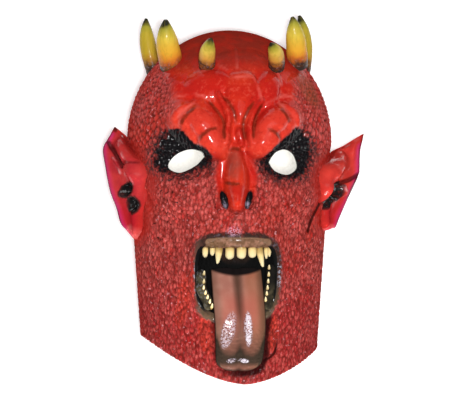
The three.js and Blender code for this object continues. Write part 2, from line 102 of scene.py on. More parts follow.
def hang_lamp(name, place, width, power):
    data = bpy.data.lights.new(name, "AREA")
    data.size = width
    data.energy = power
    lamp = bpy.data.objects.new(name, data)
    bpy.context.collection.objects.link(lamp)
    lamp.location = place
    lamp.rotation_euler = (AIM - Vector(place)).to_track_quat("-Z", "Y").to_euler()


def light_room():
    for name, (place, width, power) in LAMPS.items():
        hang_lamp(name, place, width, power)
    world = bpy.data.worlds.new("studio")
    world.use_nodes = True
    set_inputs(world.node_tree.nodes["Background"], ROOM_LIGHT)
    bpy.context.scene.world = world
    bpy.context.scene.view_settings.view_transform = "Standard"


place_camera()
lay_floor()
light_room()


# Shader arithmetic

class Field:
    """A shader value that works in Python expressions: each operation adds its node."""

    def __init__(self, paint, socket):
        self.paint = paint
        self.socket = socket

    def _math(self, operation, first, second):
        return self.paint.node("ShaderNodeMath", {"operation": operation}, {0: first, 1: second})

    def __add__(self, other):
        return self._math("ADD", self, other)

    __radd__ = __add__

    def __sub__(self, other):
        return self._math("SUBTRACT", self, other)

    def __rsub__(self, other):
        return self._math("SUBTRACT", other, self)

    def __mul__(self, other):
        return self._math("MULTIPLY", self, other)

    __rmul__ = __mul__

    def rising(self, low, high):
        """0 below low, 1 above high, smooth between."""
        ends = {"Value": self, "From Min": low, "From Max": high}
        return self.paint.node("ShaderNodeMapRange", {"interpolation_type": "SMOOTHSTEP"}, ends)


WATER_IOR = 1.33
BUMP_STRENGTH = 0.6


class Paint:
    """A material whose nodes are written as expressions."""

    def __init__(self, name, roughness=0.4, coat=0.0, coat_roughness=0.1):
        self.material = bpy.data.materials.new(name)
        self.material.use_nodes = True
        self.tree = self.material.node_tree
        self.shader = self.tree.nodes["Principled BSDF"]
        set_inputs(self.shader, {
            "Roughness": roughness, "Coat Weight": coat, "Coat Roughness": coat_roughness,
            "Coat IOR": WATER_IOR, "Specular IOR Level": 0.0,
        })

    def node(self, kind, settings, inputs, output=0):
        made = self.tree.nodes.new(kind)
        for key, value in settings.items():
            if key == "stops":
                ramp = made.color_ramp
                while len(ramp.elements) < len(value):
                    ramp.elements.new(0.5)
                for element, (place, colour) in zip(ramp.elements, value):
                    element.position = place
                    element.color = (*colour, 1)
            else:
                setattr(made, key, value)
        for key, value in inputs.items():
            if isinstance(value, Field):
                self.tree.links.new(value.socket, made.inputs[key])
            else:
                made.inputs[key].default_value = value
        return Field(self, made.outputs[output])

    def place(self):
        return self.node("ShaderNodeTexCoord", {}, {}, "Object")

    def axis(self, name):
        return self.node("ShaderNodeSeparateXYZ", {}, {"Vector": self.place()}, name)

    def stretched(self, per_metre):
        return self.node("ShaderNodeMapping", {}, {"Vector": self.place(), "Scale": per_metre})

    def noise(self, per_metre, detail=3.0):
        inputs = {"Vector": self.place(), "Scale": per_metre, "Detail": detail}
        return self.node("ShaderNodeTexNoise", {}, inputs)

    def streaks(self, per_metre):
        """Noise drawn out along an axis: how often it changes on each axis."""
        inputs = {"Vector": self.stretched(per_metre), "Scale": 1.0, "Detail": 3.0}
        return self.node("ShaderNodeTexNoise", {}, inputs)

    def mark(self, name):
        """A number stored on each vertex."""
        return self.node("ShaderNodeAttribute", {"attribute_name": name}, {}, "Fac")

    def mix(self, factor, first, second):
        first, second = (c if isinstance(c, Field) else (*c, 1) for c in (first, second))
        return self.node("ShaderNodeMix", {"data_type": "RGBA"}, {0: factor, 6: first, 7: second}, 2)

    def coats(self, colour, *coats):
        """Colours laid over a first one, each with the share of it that covers."""
        for share, over in coats:
            colour = self.mix(share, colour, over)
        return colour

    def ramp(self, factor, stops):
        return self.node("ShaderNodeValToRGB", {"stops": stops}, {"Fac": factor})

    def finish(self, colour, bump, distance, roughness=None, coat=None):
        """Links what varies over the piece to the shader. The bump's distance is in metres."""
        raised = {"Height": bump, "Distance": distance, "Strength": BUMP_STRENGTH}
        normal = self.node("ShaderNodeBump", {}, raised)
        links = {"Base Color": colour, "Roughness": roughness, "Coat Weight": coat, "Normal": normal}
        for name, value in links.items():
            if value is not None:
                self.tree.links.new(value.socket, self.shader.inputs[name])
        return self.material


# Sizes of the hood, as on the solid

WALL = 2.5
SECTION_POWER = 0.92  # a level section of the hood is a little squarer than an ellipse
RELIEF_FROM_SIDE = (0.05, 0.35)  # the relief fades in between these cosines of the turn from the front
TEMPLE_HALF_WIDTH = 90
NECK_HALF_WIDTH = 78
AXIS_Z = 98
FACE_DEPTH = 100
BIB_DEPTH = 84
BACK_DEPTH = 103
NAPE_DEPTH = 88
TEMPLE_Y = 50
DOME_HEIGHT = 98.5
RIM_SIDE_Y = -127
RIM_TILT = 5
BIB_DROP, BIB_ROUNDNESS, BIB_SHIFT = 34.5, 1.5, 0.08
NAPE_LIFT = 8
DOME_SHARE = 0.3
MOUTH_Y, MOUTH_HALF_WIDTH, MOUTH_HALF_HEIGHT, MOUTH_POWER, MOUTH_FLARE = -69, 35, 35, 3.4, 0.03
MOUTH_FLOOR_Z, MOUTH_FRONT_Z, MOUTH_TAPER = 183, 240, 0.92
LIP_RISE, LIP_HALF_WIDTH, LIP_PLEAT = 3.5, 4.5, 0.3
LINING_GAP, LINING_OVERHANG = 0.8, 12
# Columns round the hood and rows up it.
SKIN_GRID, LINING_GRID, SCATTER_GRID = (380, 240), (90, 70), (300, 240)
MOUTH_SIDES = 64

# A slanted ellipse: its middle, half sizes, slant in degrees, and how far it stands out.
Form = namedtuple("Form", "x y long wide slant rise", defaults=[1])
LOBES = [
    Form(-19, 46, 16, 12, 125, 6),
    Form(-27, 67, 20, 12, 112, 7),
    Form(-46, 73.5, 19, 13, 155, 5),
    Form(-24.5, 97, 21, 13, 15, 4.5),
    Form(-50, 92, 15, 10, 120, 3),
    Form(5.5, 88, 24, 15.5, 90, 5),
    Form(5, 118, 24, 11, 5, 3),
    Form(22.5, 46, 16, 11.5, 40, 6),
    Form(31, 66.5, 19, 11, 45, 7),
    Form(49, 74, 16, 12.5, 60, 5),
    Form(28.5, 93.5, 16, 10.5, 80, 4.5),
    Form(52, 95, 14, 9, 60, 3),
]
BROWS = [Form(-32, 57, 35, 19, -36, 7), Form(34, 57, 33, 18, 38, 7)]
MASSES = [Form(0, -62, 76, 56, 90, 12), Form(50, 0, 32, 22, 40, 5)]
CHIN = Form(2, -128, 36, 23, 0, 6)
PHILTRUM = Form(-2.5, -29, 8, 5.5, 0, 1.5)
SOCKETS = [Form(44, 30, 26, 15, 8, -10), Form(49, 45, 20, 15, 65, -8)]
NOSTRIL = Form(11.3, -2, 9.5, 3.4, 79, -7)
FROWN_RIDGES = [
    [(-15, 88), (-9, 77), (-6.5, 68), (-7.8, 58), (-8, 47)],
    [(2, 57), (4.6, 46)],
    [(22, 82), (14.5, 72), (11, 60), (11.8, 47)],
]
FROWN_HALF_WIDTH, FROWN_RISE = 3.4, 5
SIDE_ROLLS = [[(-19, 34), (-18.5, 18), (-17, 2)], [(5.5, 41), (11, 33), (17.5, 24), (23.5, 14.5)]]
ROLL_HALF_WIDTH, ROLL_RISE = 6, 2.4
# Folds on the right half of the face: from the ear lobe to the jaw, and round the chin.
SKIN_FOLDS = [
    [(79.5, -1), (75.5, -7), (68.5, -19), (64.5, -30)],
    [(37, -117), (36.8, -126), (34, -136), (25, -142)],
]
FOLD_HALF_WIDTH, FOLD_RISE = 3, -3
# A straight fold and the nose's wing: their points, half width and rise.
JAW_FOLD = ([(-78, 4), (-54, -44)], 4, -2.5)
WING = ([(15.5, 6), (16, -3), (12.5, -11)], 4, 4)
NOSE = [  # from the tip's underside to the root: place, rise and half width
    (-15, 0, 7), (-11.5, 7, 7.5), (-7, 14, 8), (-2, 17, 9), (4, 16.5, 11), (10, 14, 12), (13, 13, 12),
    (20, 12, 11.5), (30, 9.5, 9), (38, 7.5, 7.5), (42, 6, 6.5), (48, 0, 6),
]

# An ear: its two long edges from lobe to tip, its folds (points, half width, rise, darkness of the shade
# painted in the fold) and ridges (points, half width, rise; a highlight is painted along each), and the
# bulges and pits of its hollow.
Ear = namedtuple("Ear", "name side root outer folds ridges bulges pits")
EAR_THICKNESS = 3.5
# Where a highlight is painted on the lobe.
EAR_LOBE_HIGHLIGHT = Form(84, -31, 11, 8, 30)
EAR_SWELL, EAR_RIM, EAR_DISH_SHARE = 7, 1.6, 0.05
EAR_ROWS, EAR_COLUMNS = 130, 56
EARS = [
    Ear(
        "ear_right",
        side=-1,
        root=[
            (82, -38, 118), (76, -28, 138), (75, -13, 143), (72.5, -5, 147), (72.5, 5, 149),
            (71.5, 13, 152), (70, 22, 156), (74, 30, 151), (81, 36, 137), (87.5, 46, 116), (91, 54, 101),
            (101.8, 62.9, 102),
        ],
        outer=[
            (85.2, -37.4, 122), (91.6, -29.1, 126), (97, -22.5, 124), (100.5, -10, 121),
            (105.5, 3.5, 118), (108, 14, 115), (110.2, 27, 112), (112.2, 39.2, 107), (111.5, 45.6, 105),
            (108.5, 50.9, 104), (104.5, 58, 103), (101.8, 62.9, 102),
        ],
        folds=[
            ([(101.8, 63), (101, 60)], 2.5, 0, 0.9),
            ([(107, 48.5), (103.2, 41.8), (99.3, 34.2), (96.8, 28.1)], 2.4, -3, 1.0),
            ([(96.8, 28.8), (91.8, 29.7), (86.6, 29.2), (80.3, 30.4)], 1.6, -1.8, 0.5),
        ],
        ridges=[
            ([(104, 35), (100.5, 28.8), (98.6, 22)], 1.5, 1.6),
            ([(98, 1.5), (90, 0.8), (84, 3)], 1.6, 1.6),
        ],
        bulges=[Form(89, 38.5, 16, 9, 40, 4.5), Form(85, 22, 11, 8, 70, 4), Form(84, -30, 9, 7, 60, 2)],
        pits=[Form(91.7, 6.8, 9.4, 5.4, 146, -7), Form(85.3, -5.7, 8.2, 6.6, 80, -7)],
    ),
    Ear(
        "ear_left",
        side=1,
        root=[
            (77.5, -31, 130), (75.5, -21, 140), (74.3, -7, 142), (74, 0.7, 145), (73.5, 8, 149),
            (72, 16, 154), (71, 22, 155), (76, 30, 147), (85, 34.7, 121), (91, 41, 101),
            (101.1, 45.9, 102), (111, 52, 102), (120.1, 57.3, 102),
        ],
        outer=[
            (81, -30, 127), (88.8, -27, 127), (92.1, -26, 126), (96.1, -17.2, 123), (102.7, -3, 119),
            (110.1, 11.4, 114), (114.4, 20.1, 111), (115.3, 25.7, 109), (115.8, 33.8, 107),
            (116.6, 42.6, 105), (118.7, 50.8, 103), (120.1, 57.3, 102),
        ],
        folds=[
            ([(114.5, 20), (110, 11.4), (104, -1)], 2, 0, 0.9),
            (
                [(113, 20), (107.4, 16.9), (100, 13.8), (93.2, 11.3), (89.2, 7.6), (83, 0.1), (77.4, -6.7)],
                2.2, -3.5, 0.9,
            ),
        ],
        ridges=[([(101.3, 10.7), (102, 5.8), (98.7, 1.3), (92, -3)], 1.8, 2.2)],
        bulges=[
            Form(87.5, 21.5, 13, 10, 20, 5.5), Form(97, 28.5, 13, 8, 35, 3.5),
            Form(80, 10, 8, 8, 60, 3.5), Form(85.5, -23.4, 10, 7, 20, 1.5),
        ],
        pits=[Form(92, 4.8, 11.5, 6, 47, -7), Form(82, -4.5, 7.5, 3.2, 45, -4)],
    ),
]

# Thin raised veins of the brow, with highlights painted along them, and its creases, with shade painted in
# them.
VEINS = [
    [(-16, 116), (-8, 111), (-1, 104), (13, 105), (18, 99), (22, 84)],
    [(24, 79), (32, 84), (43, 88), (53, 84), (57, 69)],
    [(37.4, 81.6), (46, 73.7), (50.5, 65.3), (51.7, 60.3)],
    [(-36, 81.5), (-43.5, 76), (-50, 69.5)],
    [(-60, 76), (-53, 86), (-38, 89), (-25, 86), (-19, 84)],
    [(2, 130), (2, 112)],
    [(38, 110), (40, 97)],
    [(-39, 105), (-19, 113)],
]
VEIN_HALF_WIDTH, VEIN_RISE = 1.7, 1.1
CREASES = [
    [(-25, 86), (-21, 80), (-14.5, 72), (-11, 65), (-11, 55), (-10.5, 46)],
    [(-13, 89.5), (-5.7, 80.5), (-1.5, 72), (0, 62)],
    [(18, 85), (8.5, 72), (6, 60), (8.5, 46)],
    [(25, 84), (20.6, 77), (16.5, 67), (15, 59), (13.8, 47)],
    [(-33.5, 46), (-29.5, 53.5), (-22.5, 58.5), (-13.5, 59.8)],
    [(23, 59), (29, 58), (35, 54), (38, 47.5)],
    [(-32, 80), (-39.5, 74), (-46, 67), (-48, 58)],
    [(35, 79), (43, 71), (47.5, 61)],
    [(-14, 13.2), (-8, 12), (-2, 11.4), (5, 12.2)],
    [(-9, 39), (-2, 42), (7, 39.5)],
]
CREASE_HALF_WIDTH, CREASE_RISE = 2.1, -1.6


# What the shapes are worked out with

def ease(value, low, high):
    """0 up to low, 1 from high on, smooth between."""
    share = np.clip((value - low) / (high - low), 0, 1)
    return share * share * (3 - 2 * share)


def mix(a, b, share):
    return a + (b - a) * share


def signed_power(value, exponent):
    return np.sign(value) * np.abs(value) ** exponent


def in_ellipse(x, y, form):
    """1 at the centre of a slanted ellipse and 0 on its edge."""
    turn = math.radians(form.slant)
    along = ((x - form.x) * math.cos(turn) + (y - form.y) * math.sin(turn)) / form.long
    across = ((y - form.y) * math.cos(turn) - (x - form.x) * math.sin(turn)) / form.wide
    return np.maximum(0, 1 - along**2 - across**2)


def in_any(x, y, forms):
    """in_ellipse for the nearest of several."""
    return np.maximum.reduce([in_ellipse(x, y, form) for form in forms])


def line_distance(x, y, points):
    """Distance from each place to a line through some points."""
    nearest = np.full(np.shape(x), np.inf)
    for (ax, ay), (bx, by) in zip(points, points[1:]):
        share = ((x - ax) * (bx - ax) + (y - ay) * (by - ay)) / ((bx - ax) ** 2 + (by - ay) ** 2)
        share = np.clip(share, 0, 1)
        nearest = np.minimum(nearest, np.hypot(x - mix(ax, bx, share), y - mix(ay, by, share)))
    return nearest


def smooth_line(points, per_span=6):
    """A Catmull-Rom curve through points, as a denser list."""
    p = np.array([points[0], *points, points[-1]], float)
    made = []
    for i in range(1, len(p) - 2):
        a, b, c, d = p[i - 1 : i + 3]
        for t in np.linspace(0, 1, per_span, endpoint=False):
            bend = (2 * a - 5 * b + 4 * c - d) * t**2 + (3 * b - 3 * c + d - a) * t**3
            made.append(0.5 * (2 * b + (c - a) * t + bend))
    return [*made, p[-2]]


def near_line(x, y, points, half_width):
    """1 on a line through some points, 0 from the half width on."""
    return np.maximum(0, 1 - (line_distance(x, y, points) / half_width) ** 2)


def near_any(x, y, lines, half_width):
    """near_line for the nearest of several smooth lines."""
    return np.maximum.reduce([near_line(x, y, smooth_line(line), half_width) for line in lines])


def mouth_flare(y):
    """How wide the mouth is at a height, as a share of its width in the middle."""
    return 1 + MOUTH_FLARE * (y - MOUTH_Y) / MOUTH_HALF_HEIGHT


def mouth_reach(x, y):
    """The lips' outline: 1 on it, less inside."""
    across = np.abs(x / (MOUTH_HALF_WIDTH * np.maximum(0.5, mouth_flare(y))))
    up = np.abs((y - MOUTH_Y) / MOUTH_HALF_HEIGHT)
    return (across**MOUTH_POWER + up**MOUTH_POWER) ** (1 / MOUTH_POWER)


def brow_relief(x, y):
    """The brow's lobes and frown ridges, on two broad swellings."""
    rises = [form.rise * in_ellipse(x, y, form) ** 0.6 for form in LOBES]
    rises.append(FROWN_RISE * near_any(x, y, FROWN_RIDGES, FROWN_HALF_WIDTH) ** 0.8)
    swelling = sum(form.rise * in_ellipse(x, y, form) for form in BROWS)
    return sum(rise**3 for rise in rises) ** (1 / 3) + swelling


def nose_relief(x, y):
    """The nose with its wings and nostrils, and the rolls beside its root."""
    ax = np.abs(x)
    places, rises, widths = np.array(smooth_line(NOSE)).T
    ridge = np.interp(y, places, rises) * np.maximum(0, 1 - (x / np.interp(y, places, widths)) ** 2) ** 1.3
    rolls = ROLL_RISE * near_any(x, y, SIDE_ROLLS, ROLL_HALF_WIDTH) ** 1.7
    points, half_width, rise = WING
    wing = rise * np.sqrt(near_any(ax, y, [points], half_width))
    return np.maximum.reduce([ridge, wing, rolls]) + NOSTRIL.rise * in_ellipse(ax, y, NOSTRIL) ** 0.7


def main_relief(x, y):
    """How far the face stands out of the plain hood, at a place seen from the front."""
    ax = np.abs(x)
    broad = sum(form.rise * in_ellipse(ax, y, form) ** 1.5 for form in MASSES)
    sockets = np.minimum.reduce([form.rise * in_ellipse(ax, y, form) ** 0.8 for form in SOCKETS])
    brow = brow_relief(x, y)
    face = broad + np.where(brow > 0, brow, sockets) + CHIN.rise * in_ellipse(x, y, CHIN) ** 0.7
    face = face + PHILTRUM.rise * in_ellipse(x, y, PHILTRUM) + nose_relief(x, y)
    lips = LIP_RISE * np.maximum(0, 1 - ((mouth_reach(x, y) - 1) * MOUTH_HALF_WIDTH / LIP_HALF_WIDTH) ** 2)
    points, half_width, rise = JAW_FOLD
    return face + lips + rise * near_line(x, y, points, half_width) + FOLD_RISE * skin_folds(x, y)


def skin_folds(x, y):
    return near_any(x, y, SKIN_FOLDS, FOLD_HALF_WIDTH)


def crease_share(x, y):
    """1 in the middle of a brow crease, falling off softly beside it and towards its ends."""
    made = np.zeros(np.shape(x))
    for crease in CREASES:
        ends = [np.hypot(x - ex, y - ey) for ex, ey in (crease[0], crease[-1])]
        taper = mix(0.25, 1, ease(ends[0], 0, 7) * ease(ends[1], 0, 7))
        beside = line_distance(x, y, smooth_line(crease)) / CREASE_HALF_WIDTH
        made = np.maximum(made, taper * np.exp(-(beside**2)))
    return made


def vein_share(x, y):
    return near_any(x, y, VEINS, VEIN_HALF_WIDTH)


def full_relief(x, y):
    """The face with its veins, creases and the pleats of its lips."""
    turn = np.arctan2(y - MOUTH_Y, x)
    pleats = np.sin(turn * 41 + 2 * np.sin(turn * 7)) + np.sin(turn * 67 + 1)
    lips = np.exp(-(((mouth_reach(x, y) - 1.12) / 0.13) ** 2))
    fine = VEIN_RISE * vein_share(x, y) + CREASE_RISE * crease_share(x, y) + LIP_PLEAT * pleats * lips
    return main_relief(x, y) + fine


def inner_relief(x, y):
    """The lowest of the face's rises round each place, so that the lining stays under the skin."""
    turns = [(radius, turn) for radius in (2.5, 5) for turn in np.arange(8) * PI / 4]
    around = [full_relief(x + radius * math.cos(turn), y + radius * math.sin(turn)) for radius, turn in turns]
    return np.minimum.reduce([full_relief(x, y), *around]) - LINING_GAP


def hood_points(u, v, height, beyond_rim=0.0):
    """Places on the hood: u runs round it from the front, v from the neck edge (0) to the crown (1)."""
    front = np.cos(u)
    # The neck edge: a bib that hangs down in front, and a lifted nape.
    aside = np.sin(u) - BIB_SHIFT
    aside = np.abs(aside) / np.where(aside < 0, 1 + BIB_SHIFT, 1 - BIB_SHIFT)
    rim_y = RIM_SIDE_Y - RIM_TILT * np.sin(u) - BIB_DROP * np.where(front > 0, 1 - aside**BIB_ROUNDNESS, 0)
    rim_y = rim_y + NAPE_LIFT * np.maximum(0, -front) - beyond_rim
    # The walls up to the temples, and the dome above them.
    up = np.maximum(0, (v - 1 + DOME_SHARE) / DOME_SHARE) * PI / 2
    level = mix(rim_y, TEMPLE_Y, np.minimum(1, v / (1 - DOME_SHARE)))
    down = np.clip((TEMPLE_Y - level) / (TEMPLE_Y - RIM_SIDE_Y), 0, 1)
    half_width = mix(TEMPLE_HALF_WIDTH, NECK_HALF_WIDTH, down)
    depth = np.where(front > 0, mix(FACE_DEPTH, BIB_DEPTH, down**2), mix(BACK_DEPTH, NAPE_DEPTH, down**3))
    out = np.stack([
        half_width * signed_power(np.sin(u), SECTION_POWER) * np.cos(up),
        DOME_HEIGHT * np.sin(up),
        depth * signed_power(front, SECTION_POWER) * np.cos(up),
    ], -1)
    place = out + np.stack([0 * level, level, AXIS_Z + 0 * level], -1)
    lift = ease(front, *RELIEF_FROM_SIDE) * height(place[..., 0], place[..., 1])
    return place + unit(out) * lift[..., None]


def surface_normals(grid):
    """Outward normals of a grid of rings that run round the hood."""
    around = np.roll(grid, -1, 1) - np.roll(grid, 1, 1)
    upward = np.gradient(grid, axis=0)
    normal = np.cross(around, upward)
    return normal / np.maximum(1e-9, np.linalg.norm(normal, axis=-1, keepdims=True))


BUSY_V, CROWDING = 0.6, 0.35
EVEN_SHARE, REAR_SHARE = 0.62, 0.38


def hood_grid(columns, rows, height, beyond_rim=0.0):
    """Rings round the hood, closer together on the face than elsewhere."""
    s = 2 * np.arange(columns) / columns - 1
    u = PI * (EVEN_SHARE * s + REAR_SHARE * s**7)
    t = np.arange(rows) / rows
    wave = np.sin(2 * PI * (t - BUSY_V))
    v = t - CROWDING * (wave - wave[0]) / (2 * PI)
    return hood_points(*np.meshgrid(u, v), height, beyond_rim)


# Meshes

def mesh_object(name, points, faces, attributes):
    """An object from places in millimetres and faces."""
    mesh = bpy.data.meshes.new(name)
    mesh.from_pydata((np.asarray(points) * MM).tolist(), [], faces)
    for key, values in attributes.items():
        store(mesh, key, values)
    mesh.shade_smooth()
    made = bpy.data.objects.new(name, mesh)
    bpy.context.collection.objects.link(made)
    return made


def store(mesh, key, values):
    """One number for each vertex, for the paint to read."""
    mesh.attributes.new(key, "FLOAT", "POINT").data.foreach_set("value", np.ravel(values).astype(np.float32))


def closed_rings(name, rings, ends, attributes=None, flip=False):
    """A closed skin over rings of equally many points, with a fan to a point at each end."""
    rows, count = rings.shape[:2]
    points = np.concatenate([rings.reshape(-1, 3), np.array(ends, float)])
    start = rows * count
    index = np.arange(rows * count).reshape(rows, count)
    turned = np.roll(index, -1, 1)
    quads = np.stack([index[:-1], turned[:-1], turned[1:], index[1:]], -1).reshape(-1, 4)
    first = np.stack([np.full(count, start), turned[0], index[0]], -1)
    last = np.stack([np.full(count, start + 1), index[-1], turned[-1]], -1)
    faces = []
    for group in (quads, first, last):
        faces += (group[:, ::-1] if flip else group).tolist()
    flat = {key: np.ravel(values) for key, values in (attributes or {}).items()}
    flat = {key: np.concatenate([values, [values[0], values[-1]]]) for key, values in flat.items()}
    return mesh_object(name, points, faces, flat)


def bar_rings(spine, across, up, half_width, half_height, sides):
    """Oval rings round a row of places."""
    turn = np.arange(sides) * 2 * PI / sides
    aside = across[:, None] * np.cos(turn)[None, :, None] * half_width[:, None, None]
    return spine[:, None] + aside + up[:, None] * np.sin(turn)[None, :, None] * half_height[:, None, None]


def unit(vectors):
    """Vectors brought to a length of 1."""
    return vectors / np.linalg.norm(vectors, axis=-1, keepdims=True)


def tree_of(places):
    """A search tree over places."""
    tree = kdtree.KDTree(len(places))
    for i, place in enumerate(places.tolist()):
        tree.insert(place, i)
    tree.balance()
    return tree


def combine(target, other, operation):
    """Cuts or joins a closed mesh, then removes the other one."""
    modifier = target.modifiers.new("join", "BOOLEAN")
    modifier.operation = operation
    modifier.solver = "MANIFOLD"
    modifier.object = other
    bpy.context.view_layer.update()
    made = bpy.data.meshes.new_from_object(target.evaluated_get(bpy.context.evaluated_depsgraph_get()))
    target.modifiers.clear()
    target.data = made
    bpy.data.objects.remove(other)
    return target


def vertices_of(made):
    """The places of an object's vertices, in millimetres."""
    places = np.empty(len(made.data.vertices) * 3, np.float32)
    made.data.vertices.foreach_get("co", places)
    return places.reshape(-1, 3).astype(float) / MM


# Scales

SCALES_AT_Y, SQUEEZED_TO = (-200, 20, 70, 200), (-137.5, 0, 40, 170)


def squeezed(points):
    """Places measured so that a scale taller than wide comes out round."""
    y = np.interp(points[..., 1], SCALES_AT_Y, SQUEEZED_TO)
    return np.stack([points[..., 0], y, points[..., 2]], -1)


def scale_spacing(points):
    """Small scales on the face, larger ones on the temples and at the back of the head."""
    return 2.8 + 2.4 * (1 - ease(points[..., 2], 20, 110)) + 1.2 * temples(points)


def temples(points):
    """1 on the sides of the skull, where the scales lie in level rows."""
    return ease(np.abs(points[..., 0]), 53, 62) * ease(points[..., 1], 34, 50)


SCALE_TRIES, SCALE_JITTER, ROW_PITCH = 110000, 0.7, 3.9
# Kept scales are looked up by the cube that they lie in. A cube is wider than any scale.
CUBE = 6.5
NEARBY = list(itertools.product((-1, 0, 1), repeat=3))


def scatter_scales(rng):
    """Centres of the scales: random places on the hood, none closer together than a scale's width."""
    flat = hood_grid(*SCATTER_GRID, main_relief).reshape(-1, 3)
    picked = flat[rng.integers(0, len(flat), SCALE_TRIES)]
    picked = picked + rng.uniform(-SCALE_JITTER, SCALE_JITTER, (SCALE_TRIES, 3))
    wave = 1.6 * np.sin(picked[:, 0] / 6 + picked[:, 2] / 9)
    rows = np.round((picked[:, 1] + wave) / ROW_PITCH) * ROW_PITCH - wave
    picked[:, 1] = np.where(temples(picked) > 0.5, rows, picked[:, 1])
    metric = squeezed(picked)
    cubes = {}
    kept = []
    for i, (place, gap) in enumerate(zip(metric.tolist(), scale_spacing(picked).tolist())):
        x, y, z = place
        cx, cy, cz = (int(c // CUBE) for c in place)
        near = (other for dx, dy, dz in NEARBY for other in cubes.get((cx + dx, cy + dy, cz + dz), ()))
        if all((x - ox) ** 2 + (y - oy) ** 2 + (z - oz) ** 2 >= gap * gap for ox, oy, oz in near):
            cubes.setdefault((cx, cy, cz), []).append(place)
            kept.append(i)
    return metric[kept]


def scale_pattern(points, centres):
    """For each place: the gap to the groove round its scale, how far its middle is, and which scale it is."""
    tree = tree_of(centres)
    found = [tree.find_n(p, 2) for p in squeezed(points).tolist()]
    first, second = (np.array([pair[k][2] for pair in found]) for k in (0, 1))
    return second - first, first, np.array([pair[0][1] for pair in found])


# The forehead, the brow and the nose.
SMOOTH_PARTS = [Form(-1, 92, 58, 50, 0, 3), Form(0, 62, 64, 34, 0, 3), Form(0, 16, 20, 31, 0, 2.2)]


def smooth_region(x, y, z):
    """1 on the smooth glossy forehead, brow and nose, 0 on the scales."""
    share = np.maximum.reduce([form.rise * in_ellipse(x, y, form) for form in SMOOTH_PARTS])
    crown = ease(y, 96, 108) * (1 - ease(np.abs(x - 2), 58, 66)) * ease(z, 50, 90)
    return np.maximum(ease(share, 0, 0.9) * ease(z, 120, 150), crown)


def inside_distance(x, y, outline):
    """Distance from a closed outline: positive inside it, negative outside."""
    loop = smooth_line([*outline, outline[0]])
    inside = np.zeros(np.shape(x), bool)
    for (ax, ay), (bx, by) in zip(loop, loop[1:]):
        crosses = (ay > y) != (by > y)
        inside ^= crosses & (x < ax + (y - ay) * (bx - ax) / (by - ay if by != ay else 1))
    return np.where(inside, 1, -1) * line_distance(x, y, loop)


def near_ears(x, y, z):
    """1 where the ears grow out of the head."""
    gaps = [line_distance(ear.side * x, y, [place[:2] for place in ear.root[:-2]]) for ear in EARS]
    sides = [ear.side * x > 0 for ear in EARS]
    near = np.maximum.reduce([np.where(side, 1 - ease(gap, 1, 8), 0) for gap, side in zip(gaps, sides)])
    return near * ease(z, 95, 115)


# The eye holes and the black round them

EYE_CUT = (130, 250)  # the eye holes are cut from inside the head to in front of the face
EYES = [
    [(-27, 35), (-30, 39.5), (-40, 41.3), (-51.5, 36.3), (-57.5, 26.5), (-48, 21.3), (-34.4, 27.2)],
    [(28.8, 30), (34, 38.5), (43.3, 41.4), (51, 37), (54.4, 26), (46, 19.7), (34.7, 22.7)],
]
BLACK_PATCHES = [
    [
        (-61, 58), (-48, 58.5), (-38, 48), (-28.5, 43), (-23, 37.5), (-20.5, 31), (-28.6, 24), (-45, 19),
        (-58.7, 20), (-67.5, 24), (-71, 30), (-70, 39), (-66.5, 49),
    ],
    [
        (52, 60.5), (60, 58), (67.5, 48), (68, 34), (61, 20), (52, 15.5), (37.5, 16), (25.5, 21.5),
        (20.5, 30.5), (25.5, 36), (35.5, 45.5), (44, 53),
    ],
]


def black_distance(x, y):
    """How far inside the black patches a place is; negative outside them."""
    return np.maximum.reduce([inside_distance(x, y, patch) for patch in BLACK_PATCHES])


def black_eye(x, y):
    """The airbrushed black round the eyes: crisp along the brow, speckled and soft everywhere else."""
    reach = mix(8, 1.5, ease(in_any(x, y, BROWS), 0, 0.12))
    return ease(black_distance(x, y) / reach, -1, 1)


# The shell

PILLOW_RISE, DOME_RISE = 0.7, 0.6


def scale_lift(grid, centres):
    """How far the scales raise or lower each place of the hood."""
    x, y, z = np.moveaxis(grid, -1, 0)
    gap, first, _ = (a.reshape(x.shape) for a in scale_pattern(grid.reshape(-1, 3), centres))
    scaly = 1 - smooth_region(x, y, z) * (1 - black_eye(x, y))
    scaly = scaly * np.where(z > 150, ease(mouth_reach(x, y), 1.12, 1.3), 1)
    scaly = scaly * (1 - 0.7 * near_ears(x, y, z))
    size = scale_spacing(grid)
    pillow = ease(gap, 0, 0.6 * size) - 1
    dome = 1 - np.minimum(1, first / (0.62 * size)) ** 2
    return scaly * (PILLOW_RISE * pillow + DOME_RISE * dome) * (1 + 0.6 * temples(grid))


def lining_rings():
    """The inside of the wall, in rings like the skin's."""
    inner = hood_grid(*LINING_GRID, inner_relief, LINING_OVERHANG)
    inner = inner - surface_normals(inner) * WALL
    inner[..., 2] = np.maximum(inner[..., 2], WALL)
    return inner


def build_hood(centres):
    """The scaly shell, hollowed by its lining, with a walled mouth pocket and open eyes."""
    outer = hood_grid(*SKIN_GRID, full_relief)
    outer = outer + surface_normals(outer) * scale_lift(outer, centres)[..., None]
    outer[..., 2] = np.maximum(outer[..., 2], 0)
    crown = hood_points(np.array(0.0), np.array(1.0), full_relief)
    shell = closed_rings("hood", outer, [(0, RIM_SIDE_Y, AXIS_Z), crown])
    inner = lining_rings()
    lining = closed_rings("lining", inner, [inner[0].mean(0), crown - np.array([0, WALL, 0])])
    pocket_wall = combine(mouth_block(WALL), copy_of(shell), "INTERSECT")
    combine(shell, lining, "DIFFERENCE")
    combine(shell, pocket_wall, "UNION")
    combine(shell, mouth_block(0), "DIFFERENCE")
    for corners in EYES:
        combine(shell, eye_prism(corners), "DIFFERENCE")
    return shell


def copy_of(made):
    twin = bpy.data.objects.new(made.name + " copy", made.data.copy())
    bpy.context.collection.objects.link(twin)
    return twin


